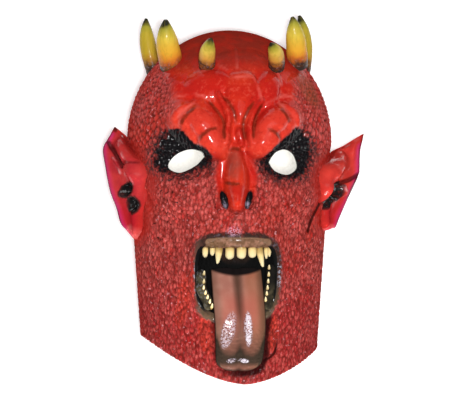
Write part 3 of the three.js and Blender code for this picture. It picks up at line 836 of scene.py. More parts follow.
def mouth_rings(margin):
    """The outline of the mouth pocket at its floor and in front of the lips."""
    turn = np.arange(MOUTH_SIDES) * 2 * PI / MOUTH_SIDES

    def ring(z, scale):
        y = MOUTH_Y + (MOUTH_HALF_HEIGHT * scale + margin) * signed_power(np.sin(turn), 2 / MOUTH_POWER)
        x = (MOUTH_HALF_WIDTH * scale + margin) * mouth_flare(y) * signed_power(np.cos(turn), 2 / MOUTH_POWER)
        return np.stack([x, y, np.full_like(x, z)], -1)

    return np.array([ring(MOUTH_FLOOR_Z - margin, MOUTH_TAPER), ring(MOUTH_FRONT_Z, 1)])


def mouth_block(margin):
    rings = mouth_rings(margin)
    return closed_rings("mouth block", rings, rings.mean(1))


def eye_prism(corners):
    """A solid with an eye hole's outline, to cut it with."""
    outline = np.array(smooth_line([*corners, corners[0]], 10)[:-1])
    rings = np.array([np.column_stack([outline, np.full(len(outline), z)]) for z in EYE_CUT])
    x, y = outline.T
    clockwise = np.sum(x * np.roll(y, -1) - y * np.roll(x, -1)) < 0
    return closed_rings("eye", rings, rings.mean(1), flip=clockwise)


# Where the hood's colours go: each mark is one number for each vertex

# Smoother, more orange skin beside the tongue and the mouth.
WARM_PATCHES = [Form(-25, -118, 22, 8, 97), Form(33, -118, 19, 6, 85), Form(-44, -88, 30, 8, 80)]
# Glints painted at the corners of the mouth.
LIP_GLINT_SPOTS = [Form(-35, -72, 15, 5, 90), Form(38, -66, 12, 7, 80)]
# The gums' upper edge, painted on where the lip's corners meet them.
GUM_LINE = [(-24, -38.6), (-15, -37.6), (15, -37.6), (27, -38.8)]
GUM_LINE_HALF_WIDTH = 3.6
# The tongue's outline where it lies over the chin; a shadow is painted round it.
TONGUE_OUTLINE = [
    (-19, -96), (-18.9, -108), (-17.7, -130), (-14, -144.5), (-5, -151.5), (10, -152.5),
    (21, -149.5), (26.5, -137), (26.5, -121), (25.7, -96),
]
# The nostril's black and the pale glint painted in it, both on x > 0 and mirrored.
NOSTRIL_PAINT, NOSTRIL_GLINT = Form(10.6, -2.4, 9.6, 3.4, 75), Form(9.8, -6.5, 4, 1.8, 75)
BRIDGE, CHEEK, DUST = Form(-2.5, 29, 18, 8, 92), Form(-68, 10, 30, 60, 0), Form(66, 94, 22, 9, -60)
TOUCHING = 0.05


def scale_marks(p, centres):
    """Where each place is on its own scale, and the scale's own shade."""
    gap, first, which = scale_pattern(p, centres)
    size = scale_spacing(p)
    return {
        "middle": 1 - np.minimum(1, first / (0.6 * size)),
        "groove": 1 - ease(gap, 0, 0.4 * size),
        "tint": np.random.default_rng(SEED + 1).random(len(centres))[which],
        "temple": temples(p),
    }


def face_marks(x, y, z):
    """The colours of the face, apart from its mouth."""
    in_front = ease(z, 150, 170)
    black = black_eye(x, y) * ease(z, 120, 150)
    smooth = smooth_region(x, y, z) * (1 - black)
    return {
        "smooth": smooth,
        "black": black,
        "soot": ease(black_distance(x, y), -11, -2) * (1 - smooth),
        "crown": ease(y, 100, 126) * ease(smooth, 0.5, 1),
        "low": 1 - ease(y, -100, -60),
        "face": ease(z, 110, 160),
        "ears": near_ears(x, y, z),
        "brow": ease(in_any(x, y, BROWS), 0, 0.5),
        # where a highlight is painted along the raised veins
        "vein": vein_share(x, y) * ease(z, 130, 150),
        # where shade is painted in the brow creases
        "crease": crease_share(x, y),
        # where shade is painted in the skin folds
        "fold": skin_folds(x, y) * ease(z, 110, 140) * (1 - 0.2 * ease(y, -134, -120) * (y < -100)),
        "wing": near_any(x, y, SIDE_ROLLS, 7) * (y < 40),
        "bridge": ease(in_ellipse(x, y, BRIDGE), 0, 0.9),
        "cheek": ease(in_ellipse(x, y, CHEEK), 0, 0.5) * ease(z, 100, 130),
        "dust": in_ellipse(x, y, DUST),
        "warm": in_any(x, y, WARM_PATCHES) * in_front,
        # where a highlight is painted on the upper lip
        "philtrum": ease(in_ellipse(x, y, PHILTRUM), 0, 0.8) * in_front,
        "nostril": ease(in_ellipse(np.abs(x), y, NOSTRIL_PAINT), 0, 0.6) * in_front,
        # where a glint is painted in the nostrils
        "sniff": in_ellipse(np.abs(x), y, NOSTRIL_GLINT) * in_front,
    }


def lip_edge(x, y):
    """How far out the lip's paint reaches, in the measure of mouth_reach."""
    above = mix(np.where(x > 0, 1.2, 1.13), 1.22, ease(y, -60, -35))
    return above + 0.09 * ease(-y, 88, 100) * (x < 0) - 0.06 * np.exp(-((x / 12) ** 2)) * (y > -60)


def mouth_marks(x, y, z):
    """The lips and the glints painted at their corners, the mouth's black, the gum line and the shadow
    painted beside the tongue.
    """
    in_front = ease(z, 150, 170)
    reach, edge = mouth_reach(x, y), lip_edge(x, y)
    round_tongue = ease(inside_distance(x, y, TONGUE_OUTLINE), -4.5, -1)
    hollow = (1 - ease(reach, 1.0, 1.03)) * in_front * (1 - ease(y, -46, -38))
    return {
        "lip": (1 - ease(reach, edge - 0.17, edge + 0.01)) * in_front,
        "mouth": hollow * (1 - ease(-y, 84, 94) * ease(z, 188, 196)),
        "gumline": near_line(x, y, GUM_LINE, GUM_LINE_HALF_WIDTH) * ease(z, 186, 192),
        # the tongue's shadow, painted on the chin and lip round it
        "gap": round_tongue * in_front * mix(0.55, 1, ease(x, -15, 5)),
        # where glints are painted at the mouth's corners
        "wet": in_any(x, y, LIP_GLINT_SPOTS) * in_front,
    }


def lining_mark(p):
    """1 on the unpainted inside."""
    bare = tree_of(np.concatenate([lining_rings().reshape(-1, 3), mouth_rings(WALL)[0]]))
    return np.array([bare.find(place)[2] < TOUCHING for place in p.tolist()], float)


def mark_hood(made, centres):
    """Stores all the marks on the hood's vertices."""
    p = vertices_of(made)
    marks = {**scale_marks(p, centres), **face_marks(*p.T), **mouth_marks(*p.T), "inside": lining_mark(p)}
    for key, values in marks.items():
        store(made.data, key, values)


# The hood's paint

Tone = namedtuple("Tone", "cloud blotch speck grain streak pebble cell fine")
RUBBER = (0.82, 0.81, 0.78)
BLACK = (0.006, 0.005, 0.006)


def skin_tone(paint):
    """The patterns that the skin's colours share, from broad clouds to single grains."""
    sizes = {"Vector": paint.stretched((430, 250, 430)), "Scale": 1.0}
    pebble, cell = (paint.node("ShaderNodeTexVoronoi", {}, sizes, output) for output in ("Distance", "Color"))
    cloud, blotch, speck, grain = (paint.noise(n) for n in (28, 85, 330, 700))
    fine = 1 - paint.mark("temple") * 0.85
    return Tone(cloud, blotch, speck, grain, paint.streaks((190, 75, 190)), pebble, cell, fine)


def scale_colour(paint, tone):
    """Dull red scales, streaked and pebbled, nearly black between them, with painted highlights on the
    pebbles and on the middles of the temple scales, and painted pink glints.
    """
    temple, groove = paint.mark("temple"), paint.mark("groove")
    # A highlight painted on each pebble.
    painted_pebble_highlights = tone.pebble.rising(0.2, 0.0) * tone.fine * (tone.streak.rising(0.4, 0.6) * 0.4 + 0.3)
    # Glints painted into the colour as pale pink specks.
    painted_glint = tone.speck.rising(0.62, 0.72) * tone.blotch.rising(0.45, 0.6)
    dots = (groove - 0.3) * tone.speck.rising(0.5, 0.62) * (paint.mark("cheek") + 0.2)
    return paint.coats(
        paint.mix(paint.mark("tint"), (0.4, 0.04, 0.034), (0.57, 0.09, 0.08)),
        (tone.cloud.rising(0.45, 0.75) * 0.8, (0.46, 0.028, 0.016)),
        (tone.blotch.rising(0.5, 0.72) * 0.5, (0.2, 0.016, 0.012)),
        (tone.streak.rising(0.5, 0.66) * 0.55, (0.5, 0.016, 0.014)),
        (tone.streak.rising(0.46, 0.34) * 0.45, (0.26, 0.018, 0.014)),
        (paint.mark("low") * 0.5, (0.34, 0.012, 0.018)),
        (tone.cell.rising(0.5, 0.7) * tone.fine * 0.35, (0.66, 0.13, 0.11)),
        (tone.cell.rising(0.45, 0.3) * tone.fine * 0.4, (0.2, 0.014, 0.012)),
        (paint.mark("warm").rising(0.0, 0.6) * 0.55, (0.56, 0.045, 0.026)),
        # painted highlights on the pebbles
        (painted_pebble_highlights, (0.8, 0.27, 0.29)),
        (tone.pebble.rising(0.42, 0.75) * tone.fine * 0.65, (0.13, 0.012, 0.009)),
        (groove * (temple * 0.35 + 0.6), (0.085, 0.012, 0.008)),
        # a highlight painted on the middle of each temple scale
        (paint.mark("middle").rising(0.3, 0.9) * temple * 0.5, (0.66, 0.2, 0.2)),
        # painted glints
        (painted_glint * 0.5, (0.88, 0.46, 0.5)),
        (dots.rising(0.1, 0.5) * 0.9, (0.02, 0.006, 0.005)),
    )


def gloss_colour(paint, tone):
    """Glossy red brow and nose, with highlights painted along the veins and shade painted in the creases,
    duller on the crown.
    """
    light_specks = (0.5 - tone.speck).rising(0.0, 0.15) * tone.blotch.rising(0.4, 0.6)
    # Shade painted in the brow creases, broken by specks.
    crease = (paint.mark("crease") + (tone.speck - 0.5) * 0.7).rising(0.25, 1.0)
    return paint.coats(
        paint.mix(tone.cloud.rising(0.35, 0.7), (0.44, 0.012, 0.008), (0.54, 0.03, 0.012)),
        (paint.mark("brow") * 0.55, (0.66, 0.05, 0.028)),
        (tone.speck.rising(0.5, 0.72) * 0.25, (0.28, 0.008, 0.006)),
        (light_specks * 0.25, (0.72, 0.11, 0.07)),
        (paint.mark("wing") * 0.55, (0.3, 0.006, 0.007)),
        (paint.mark("bridge") * (tone.blotch.rising(0.3, 0.6) * 0.3 + 0.35), (0.19, 0.045, 0.032)),
        # highlight painted along the raised veins
        (paint.mark("vein") * tone.blotch.rising(0.3, 0.6) * 0.4, (0.72, 0.16, 0.13)),
        # painted shade in the creases
        (crease * 0.75, (0.1, 0.014, 0.005)),
        (paint.mark("crown") * (tone.blotch.rising(0.35, 0.6) * 0.35 + 0.6), (0.22, 0.02, 0.012)),
    )


def lip_colour(paint, tone):
    """Nearly black with pale specks of painted glints, browner below and on the viewer's left."""
    return paint.coats(
        paint.mix(paint.mark("low"), (0.026, 0.02, 0.015), (0.08, 0.058, 0.034)),
        # painted glints as pale specks
        (tone.speck.rising(0.5, 0.66) * tone.blotch.rising(0.45, 0.6) * 0.5, (0.13, 0.11, 0.14)),
        (paint.axis("X").rising(-0.028, -0.034) * 0.6, (0.1, 0.06, 0.045)),
    )


def painted_skin(paint, tone):
    """All the hood's colours, from the bare scales to the black and the unpainted inside."""
    speck, lip = tone.speck, paint.mark("lip")
    lip_share = (lip + (speck - 0.5) * 0.9 + (paint.noise(150) - 0.5) * 0.5).rising(0.2, 0.95)
    wet = paint.mark("wet").rising(0.0, 0.5) * lip.rising(0.3, 0.8) * speck.rising(0.5, 0.6)
    black = paint.mark("black") + (speck - 0.5) * 1.1 + (paint.noise(120) - 0.5) * 0.5
    return paint.coats(
        paint.mix(paint.mark("smooth"), scale_colour(paint, tone), gloss_colour(paint, tone)),
        (paint.mark("ears") * 0.75, (0.4, 0.018, 0.012)),
        (paint.mark("dust").rising(0.0, 0.8) * 0.4, (0.2, 0.07, 0.03)),
        # painted shade in the skin folds by the jaw and the chin
        (paint.mark("fold").rising(0.68, 0.97) * 0.92, (0.03, 0.004, 0.003)),
        # painted shadow of the tongue on the chin
        (paint.mark("gap") * 0.95, (0.02, 0.003, 0.003)),
        (lip_share * 0.94, lip_colour(paint, tone)),
        # painted glints at the mouth's corners
        (wet * 0.6, (0.4, 0.4, 0.48)),
        (paint.mark("gumline").rising(0.05, 0.5) * 0.85, (0.22, 0.12, 0.07)),
        # painted highlight on the upper lip
        (paint.mark("philtrum") * tone.grain.rising(0.46, 0.6) * 0.6, (0.7, 0.38, 0.5)),
        (paint.mark("soot") * (speck.rising(0.42, 0.6) * 0.65 + 0.12), (0.03, 0.016, 0.016)),
        (black.rising(0.15, 0.9), BLACK),
        (paint.mark("nostril").rising(0.1, 0.7), (0.008, 0.007, 0.008)),
        # painted glint in the nostrils
        (paint.mark("sniff") * speck.rising(0.4, 0.54) * 0.9, (0.4, 0.33, 0.43)),
        (paint.mark("mouth").rising(0.3, 0.7), (0.006, 0.006, 0.006)),
        (paint.mark("inside"), RUBBER),
    )


def skin_shine(paint):
    """Varnish: strong on the brow, nose and eye paint, weak on the scales."""
    smooth, wing = paint.mark("smooth"), paint.mark("wing")
    gleam = paint.noise(50).rising(0.38, 0.6) * 0.6 + 0.3
    shine = smooth * (1 - paint.mark("crown")) * gleam * (1 - wing * 0.6)
    shine = shine + paint.mark("face") * (1 - smooth) * 0.12 + paint.mark("black") * 0.5
    return shine + paint.mark("nostril") * 0.6 + paint.mark("lip") * 0.15


def skin_paint():
    """The hood's material: pebbled scales, varnish and a fine grain."""
    paint = Paint("painted skin")
    tone = skin_tone(paint)
    smooth = paint.mark("smooth")
    roughness = 0.42 - smooth * 0.12 - paint.mark("mouth") * 0.1 + tone.grain * 0.1
    roughness = roughness - paint.mark("black") * 0.1
    height = tone.grain + paint.noise(240) * 0.7 - (1 - smooth) * tone.pebble * tone.fine * 1.8
    return paint.finish(painted_skin(paint, tone), height, 0.0006, roughness, skin_shine(paint))


def as_piece(made, material):
    """Finishes a piece: its paint, the body it rides on and the solid it stands for."""
    made.data.materials.clear()
    made.data.materials.append(material)
    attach(made, "root")
    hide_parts("mask")


scale_centres = scatter_scales(np.random.default_rng(SEED))
hood = build_hood(scale_centres)
mark_hood(hood, scale_centres)
as_piece(hood, skin_paint())


# Ears

def along_curve(points, t):
    """Places along a Catmull-Rom curve at equal shares t of its length."""
    dense = np.array(smooth_line(points, 24))
    length = np.concatenate([[0], np.cumsum(np.linalg.norm(np.diff(dense, axis=0), axis=1))])
    return np.stack([np.interp(t * length[-1], length, dense[:, k]) for k in range(3)], -1)


def ear_facing(root, outer):
    """Which way the ear's hollow faces at each level, evened out along the ear."""
    facing = np.cross(unit(outer - root), np.gradient(root + outer, axis=0))
    for _ in range(12):
        facing[1:-1] = (facing[:-2] + facing[1:-1] + facing[2:]) / 3
    return unit(facing)


def ear_relief(ear, x, y, s, width):
    """How far the ear's front stands out of a flat leaf: its rim, hollow, folds and pits."""
    from_edge = (1 - s) * width
    swell = EAR_SWELL * np.exp(-(((s - 0.33) / 0.24) ** 2)) * ease(width, 8, 26)
    dish = EAR_DISH_SHARE * width * np.sin(PI * s**1.5) ** 1.2
    rim = np.maximum(0, 1 - ((from_edge - 1.5) / 4) ** 2) * ease(width, 6, 16)
    relief = EAR_RIM * rim - dish + swell
    for points, half_width, rise, *_ in ear.folds + ear.ridges:
        relief = relief + rise * near_any(x, y, [points], 1.3 * half_width) ** 1.6
    for form in ear.bulges + ear.pits:
        relief = relief + 1.2 * form.rise * in_ellipse(x, y, form) ** 1.7
    return relief * ease(width, 2, 12) * ease(s * width, 0, 5) * mix(0.3, 1, ease(from_edge, 0, 3))


def ear_marks(ear, x, y, s, width):
    """Where the ear's colours go, on its front. Its back has a red rim and nothing else."""
    from_edge = (1 - s) * width
    stained = [form._replace(long=1.25 * form.long, wide=1.35 * form.wide) for form in ear.pits]
    folds = [dark * near_any(x, y, [points], half_width + 0.6) for points, half_width, _, dark in ear.folds]
    ridges = [near_any(x, y, [points], half_width) for points, half_width, _ in ear.ridges]
    return {
        "black": ease(in_any(x, y, stained), 0.0, 0.7),
        # where shade is painted in the folds
        "crease": np.maximum.reduce(folds),
        # where highlights are painted along the ridges
        "pale": np.maximum.reduce(ridges),
        # where a highlight is painted on the lobe
        "lobe": ease(in_ellipse(x, y, EAR_LOBE_HIGHLIGHT), 0, 0.7),
        "rim": np.exp(-((from_edge / 4.5) ** 1.6)) * ease(width, 5, 14),
        "root": 1 - ease(s * width, 3, 11),
        # shade painted along the ear's outer edge
        "brink": np.exp(-((from_edge / 1.4) ** 2)),
    }


def build_ear(ear):
    """A thin leaf from the ear's root to its outer edge, with its front in relief."""
    t = np.linspace(0.01, 0.997, EAR_ROWS)
    s = np.linspace(0, 1, EAR_COLUMNS)[None]
    root, outer = along_curve(ear.root, t), along_curve(ear.outer, t)
    leaf = mix(root[:, None], outer[:, None], s[..., None])
    facing = ear_facing(root, outer)[:, None]
    width = np.linalg.norm(outer - root, axis=1)[:, None]
    x, y = leaf[..., 0], leaf[..., 1]
    relief = ear_relief(ear, x, y, s, width)
    from_edge = (1 - s) * width
    wall = EAR_THICKNESS * np.sqrt(np.clip(from_edge / 3, 0.02, 1))
    back = leaf + facing * (np.minimum(relief, 0) - wall)[..., None]
    rings = np.concatenate([leaf + facing * relief[..., None], back[:, ::-1]], 1)
    behind = {"rim": np.exp(-((from_edge / 6) ** 2))}
    marks = {}
    for key, ahead in ear_marks(ear, x, y, s, width).items():
        marks[key] = np.concatenate([ahead, behind.get(key, 0 * ahead)[:, ::-1]], 1)
    rings[..., 0] *= ear.side
    return closed_rings(ear.name, rings, rings[[0, -1]].mean(1), marks, flip=ear.side < 0)


def ear_paint():
    """Red with a crimson rim and lobe, a painted highlight on the lobe, shade painted in the folds and along
    the outer edge, black pits with painted glints, and highlights painted along the ridges.
    """
    paint = Paint("ear paint", roughness=0.36)
    black, crease, rim = (paint.mark(n) for n in ("black", "crease", "rim"))
    across, up = paint.axis("X"), paint.axis("Y")
    cloud, speck = paint.noise(60), paint.noise(300)
    hollow = black + (speck - 0.5) * 0.9 + (paint.noise(170) - 0.5) * 1.2
    colour = paint.coats(
        paint.mix(cloud.rising(0.35, 0.7), (0.38, 0.01, 0.012), (0.56, 0.034, 0.024)),
        (across.rising(0.02, -0.02) * 0.35, (0.34, 0.035, 0.05)),
        (across.rising(-0.02, 0.02) * 0.35, (0.62, 0.065, 0.045)),
        (up.rising(0.004, -0.012) * 0.65, (0.38, 0.006, 0.014)),
        (paint.mark("root") * 0.8, (0.36, 0.02, 0.015)),
        ((rim + (cloud - 0.5) * 0.5).rising(0.15, 0.95) * 0.9, (0.46, 0.03, 0.13)),
        # painted shade along the outer edge
        (paint.mark("brink") * 0.8, (0.07, 0.005, 0.01)),
        # painted highlight on the lobe
        (paint.mark("lobe") * (cloud.rising(0.3, 0.6) * 0.35 + 0.1), (0.7, 0.2, 0.18)),
        # highlights painted along the ridges
        (paint.mark("pale") * cloud.rising(0.4, 0.6) * 0.5, (0.75, 0.4, 0.42)),
        # painted shade in the folds
        ((crease + (speck - 0.5) * 0.5).rising(0.1, 0.9) * 0.85, (0.05, 0.006, 0.006)),
        (hollow.rising(0.0, 0.5) * black.rising(0.0, 0.2) * 0.75, (0.07, 0.013, 0.011)),
        (hollow.rising(0.25, 1.0), (0.01, 0.009, 0.009)),
        # glints painted in the pits
        (black.rising(0.6, 1.0) * speck.rising(0.55, 0.65) * 0.7, (0.16, 0.16, 0.16)),
    )
    gleam = paint.noise(90).rising(0.46, 0.6) * 0.8 + 0.05
    shine = gleam * up.rising(-0.016, -0.006) * (1 - black * 0.7)
    return paint.finish(colour, bump=speck + paint.noise(150), distance=0.0008, coat=shine)


ear_finish = ear_paint()
for each in EARS:
    as_piece(build_ear(each), ear_finish)


# Horns and teeth: one tree makes a bent, tapered point

def point_tree():
    """Geometry nodes that sweep a round section along a bend and taper it to a tip."""
    tree = bpy.data.node_groups.new("tapered point", "GeometryNodeTree")
    inputs = [
        ("Start", "NodeSocketVector"), ("Bend", "NodeSocketVector"), ("End", "NodeSocketVector"),
        ("Radius", "NodeSocketFloat"), ("Tip Share", "NodeSocketFloat"), ("Sharpness", "NodeSocketFloat"),
        ("Lumps", "NodeSocketFloat"), ("Sides", "NodeSocketInt"), ("Steps", "NodeSocketInt"),
        ("Material", "NodeSocketMaterial"),
    ]
    for name, kind in inputs:
        tree.interface.new_socket(name, in_out="INPUT", socket_type=kind)
    tree.interface.new_socket("Geometry", in_out="OUTPUT", socket_type="NodeSocketGeometry")

    def add(kind, settings=None, **links):
        made = tree.nodes.new(kind)
        for key, value in (settings or {}).items():
            setattr(made, key, value)
        for key, value in links.items():
            socket = made.inputs[int(key[1:])] if key[1:].isdigit() else made.inputs[key.replace("_", " ")]
            if isinstance(value, bpy.types.NodeSocket):
                tree.links.new(value, socket)
            else:
                socket.default_value = value
        return made

    def math_node(operation, first, second=0.0):
        return add("ShaderNodeMath", {"operation": operation}, i0=first, i1=second).outputs[0]

    given = add("NodeGroupInput").outputs
    curve = add("GeometryNodeCurveQuadraticBezier", Resolution=given["Steps"], Start=given["Start"],
                Middle=given["Bend"], End=given["End"])
    along = add("GeometryNodeSplineParameter").outputs["Factor"]
    fall = math_node("COSINE", math_node("MULTIPLY", math_node("POWER", along, given["Sharpness"]), PI / 2))
    keep = math_node("SUBTRACT", 1.0, given["Tip Share"])
    share = math_node("ADD", given["Tip Share"], math_node("MULTIPLY", keep, fall))
    radius = math_node("MULTIPLY", given["Radius"], share)
    marked = add("GeometryNodeStoreNamedAttribute", {"data_type": "FLOAT", "domain": "POINT"},
                 Geometry=curve.outputs[0], Name="along", Value=along)
    sized = add("GeometryNodeSetCurveRadius", Curve=marked.outputs[0], Radius=radius)
    section = add("GeometryNodeCurvePrimitiveCircle", Resolution=given["Sides"], Radius=1.0)
    swept = add("GeometryNodeCurveToMesh", Curve=sized.outputs[0], Profile_Curve=section.outputs[0],
                Fill_Caps=True)
    if "Scale" in swept.inputs:
        tree.links.new(radius, swept.inputs["Scale"])
    lump = add("ShaderNodeTexNoise", {"noise_dimensions": "3D"}, Scale=110.0, Detail=2.0)
    push = math_node("MULTIPLY", math_node("SUBTRACT", lump.outputs[0], 0.5), given["Lumps"])
    normal = add("GeometryNodeInputNormal").outputs[0]
    outward = add("ShaderNodeVectorMath", {"operation": "SCALE"}, i0=normal)
    tree.links.new(push, outward.inputs["Scale"])
    moved = add("GeometryNodeSetPosition", Geometry=swept.outputs[0], Offset=outward.outputs[0])
    smooth = add("GeometryNodeSetShadeSmooth", Geometry=moved.outputs[0])
    real = add("GeometryNodeRealizeInstances", Geometry=smooth.outputs[0])
    painted = add("GeometryNodeSetMaterial", Geometry=real.outputs[0], Material=given["Material"])
    done = add("NodeGroupOutput")
    tree.links.new(painted.outputs[0], done.inputs[0])
    return tree


POINT_TREE = point_tree()


def tapered_point(name, start, bend, end, radius, tip, sharpness, lumps, sides, steps, material):
    """One horn or tooth as a plain mesh. Places and sizes are in millimetres."""
    mesh = bpy.data.meshes.new(name)
    made = bpy.data.objects.new(name, mesh)
    bpy.context.collection.objects.link(made)
    modifier = made.modifiers.new("point", "NODES")
    modifier.node_group = POINT_TREE
    values = {
        "Start": [c * MM for c in start], "Bend": [c * MM for c in bend], "End": [c * MM for c in end],
        "Radius": radius * MM, "Tip Share": tip, "Sharpness": sharpness, "Lumps": lumps * MM,
        "Sides": sides, "Steps": steps, "Material": material,
    }
    for item in POINT_TREE.interface.items_tree:
        if item.in_out == "INPUT":
            modifier[item.identifier] = values[item.name]
    graph = bpy.context.evaluated_depsgraph_get()
    graph.update()
    made.data = bpy.data.meshes.new_from_object(made.evaluated_get(graph))
    made.modifiers.clear()
    return made


Horn = namedtuple("Horn", "name base tip radius bow")
HORNS = [
    Horn("horn_front_right", (-23.2, 112, 166), (-21.5, 136.5, 197), 7.4, (-3.5, 2, 4)),
    Horn("horn_front_left", (37, 114, 166), (29.5, 132.5, 196), 7.2, (3.5, 3, 4)),
    Horn("horn_middle_right", (-52, 113, 138), (-59.2, 154.5, 160), 10.4, (-3.5, 2, 6)),
    Horn("horn_middle_left", (57.5, 116, 138), (51.6, 157.5, 158), 9.2, (1, 2, 5)),
    Horn("horn_rear_right", (-65, 110, 92), (-73.5, 159.5, 92), 7.7, (-5.5, 4, 0)),
    Horn("horn_rear_left", (64.5, 110, 92), (63, 162.5, 92), 7.8, (7, 4, 0)),
]
HORN_TIP_SHARE, HORN_SHARPNESS = 0.16, 2.2


def horn_paint(name, foot, belly, top, black_from, grimy):
    """Red at the foot, yellow above, with a black tip. Grime covers the foot up to a share of the height,
    with pale painted glints among its dark specks.
    """
    paint = Paint(name, roughness=0.3, coat=0.5, coat_roughness=0.2)
    wobble = paint.mark("along") + (paint.noise(60) - 0.5) * 0.3
    streak = paint.streaks((420, 60, 420))
    grime = (grimy - wobble).rising(-0.08, 0.12)
    colour = paint.coats(
        paint.ramp(wobble, [
            (0.0, (0.03, 0.014, 0.008)), (0.13, (0.10, 0.03, 0.008)), (0.22, foot), (0.42, belly),
            (0.7, top), (black_from - 0.08, (0.3, 0.27, 0.03)), (black_from, (0.015, 0.016, 0.01)),
        ]),
        (streak.rising(0.45, 0.75) * 0.35, (0.28, 0.22, 0.02)),
        (grime * (paint.noise(260).rising(0.35, 0.6) * 0.6 + 0.3), (0.035, 0.022, 0.02)),
        # pale glints painted among the grime
        (grime * paint.noise(420).rising(0.56, 0.64) * 0.35, (0.26, 0.2, 0.22)),
    )
    return paint.finish(colour, bump=streak + paint.noise(300), distance=0.0005)


# Each pair of horns: its colours from the foot up, where the tip turns black and how high the grime goes.
HORN_COLOURS = {
    "front": ((0.3, 0.06, 0.012), (0.6, 0.26, 0.045), (0.62, 0.44, 0.07), 0.95, 0.42),
    "middle": ((0.54, 0.11, 0.016), (0.66, 0.33, 0.03), (0.58, 0.42, 0.05), 0.95, 0.25),
    "rear": ((0.36, 0.14, 0.018), (0.42, 0.28, 0.022), (0.42, 0.32, 0.03), 0.91, 0.25),
}
HORN_FINISHES = {pair: horn_paint(pair + " horn paint", *colours) for pair, colours in HORN_COLOURS.items()}


def build_horn(horn, material):
    bend = [mix(a, b, 0.45) + c for a, b, c in zip(horn.base, horn.tip, horn.bow)]
    return tapered_point(
        horn.name, horn.base, bend, horn.tip, horn.radius, tip=HORN_TIP_SHARE, sharpness=HORN_SHARPNESS,
        lumps=0.9, sides=40, steps=60, material=material,
    )


for each in HORNS:
    horn_finish = HORN_FINISHES[each.name.split("_")[1]]
    as_piece(build_horn(each, horn_finish), horn_finish)


# Teeth and gums

GUM_Y, GUM_HALF_WIDTH, GUM_Z, GUM_ARCH, GUM_RADIUS = -38.5, 30, 193, 9, 6
Tooth = namedtuple("Tooth", "x half length lean sharpness")
UPPER_TEETH = [
    Tooth(-26.6, 2.6, 11.2, 0, 5), Tooth(-20.6, 2.3, 9.6, 0, 5), Tooth(-14.7, 3.3, 16.2, -1.7, 1.6),
    Tooth(-5.8, 3.9, 12.4, 0, 7), Tooth(4.2, 4.2, 11.8, 0, 8), Tooth(13.6, 3.7, 11.2, 0, 7),
    Tooth(19.2, 3.1, 19.2, 3.8, 1.6), Tooth(25.6, 2, 12.4, 0.6, 3), Tooth(28.6, 1.7, 10.8, 0.4, 3),
]
LOWER_TEETH = [
    [
        (-28.6, -65), (-28.8, -72), (-29, -77.5), (-27.4, -81.8), (-25.6, -85.6), (-23.6, -89.4),
        (-21.8, -93),
    ],
    [(29, -60), (28.7, -66), (28.2, -72), (27.6, -77.5), (26.9, -82.5), (26, -87.5)],
]
TOOTH_TIP, BLUNT_TIP, BLUNT_FROM = 0.3, 0.45, 6
LOWER_Z, LOWER_RADIUS, LOWER_HALF, LOWER_GUM_END_Y = 193, 4.5, 1.35, -97
# Rings along each gum and points round a ring.
UPPER_GUM_GRID, LOWER_GUM_GRID = (90, 32), (60, 24)


def joined(name, parts):
    """Several made pieces as one object, in the order given."""
    chosen = {"selected_editable_objects": parts, "selected_objects": parts}
    with bpy.context.temp_override(active_object=parts[0], **chosen):
        bpy.ops.object.join()
    parts[0].name = name
    return parts[0]


def gum_arch_z(x):
    """How far forward the upper gum's arch is."""
    return GUM_Z + GUM_ARCH * (1 - (x / GUM_HALF_WIDTH) ** 2)


def tooth_paint():
    """Ivory, brown where it leaves the gum."""
    paint = Paint("tooth paint", roughness=0.3, coat=0.3)
    along = paint.mark("along") + (paint.noise(260) - 0.5) * 0.25
    colour = paint.ramp(along, [
        (0.0, (0.12, 0.06, 0.02)), (0.3, (0.33, 0.2, 0.055)),
        (0.5, (0.74, 0.55, 0.24)), (0.9, (0.86, 0.72, 0.42)),
    ])
    return paint.finish(colour, bump=paint.noise(500), distance=0.0003)


def upper_tooth(tooth, material):
    """A tooth that hangs from the gum, pointed or blunt."""
    z = gum_arch_z(tooth.x) - 2
    start = (tooth.x, GUM_Y, z)
    end = (tooth.x + tooth.lean, GUM_Y - 2 - tooth.length, z - 1)
    bend = (tooth.x + 0.2 * tooth.lean, GUM_Y - tooth.length / 2, z + 1.5)
    tip_share = BLUNT_TIP if tooth.sharpness > BLUNT_FROM else TOOTH_TIP
    return tapered_point(
        "tooth", start, bend, end, tooth.half, tip=tip_share, sharpness=tooth.sharpness, lumps=0.7,
        sides=20, steps=20, material=material,
    )


def lower_tooth(place, material):
    """A narrow tooth seen almost on its edge, leaning along the jaw."""
    x, y = place
    inner = x - 0.9 * math.copysign(1, x)
    start, bend, end = (x, y - 2.4, LOWER_Z), (inner, y - 1.6, LOWER_Z + 4), (inner, y + 1.8, LOWER_Z + 7.2)
    return tapered_point(
        "tooth", start, bend, end, LOWER_HALF, tip=TOOTH_TIP, sharpness=1.6, lumps=0.5, sides=16, steps=16,
        material=material,
    )


tooth_finish = tooth_paint()
upper = [upper_tooth(each, tooth_finish) for each in UPPER_TEETH]
as_piece(joined("upper_teeth", upper), tooth_finish)
lower = [lower_tooth(place, tooth_finish) for row in LOWER_TEETH for place in row]
as_piece(joined("lower_teeth", lower), tooth_finish)


def gum_paint():
    """Brown, with dark specks and darker on the viewer's left."""
    paint = Paint("gum paint", roughness=0.32, coat=0.4)
    cloud, speck = paint.noise(180), paint.noise(420)
    colour = paint.coats(
        paint.mix(cloud.rising(0.35, 0.7), (0.15, 0.075, 0.04), (0.34, 0.17, 0.11)),
        (speck.rising(0.5, 0.7) * 0.6, (0.08, 0.05, 0.02)),
        (paint.axis("X").rising(-0.012, -0.03) * 0.5, (0.12, 0.08, 0.03)),
    )
    return paint.finish(colour, bump=cloud * 1.5 + speck, distance=0.0016)


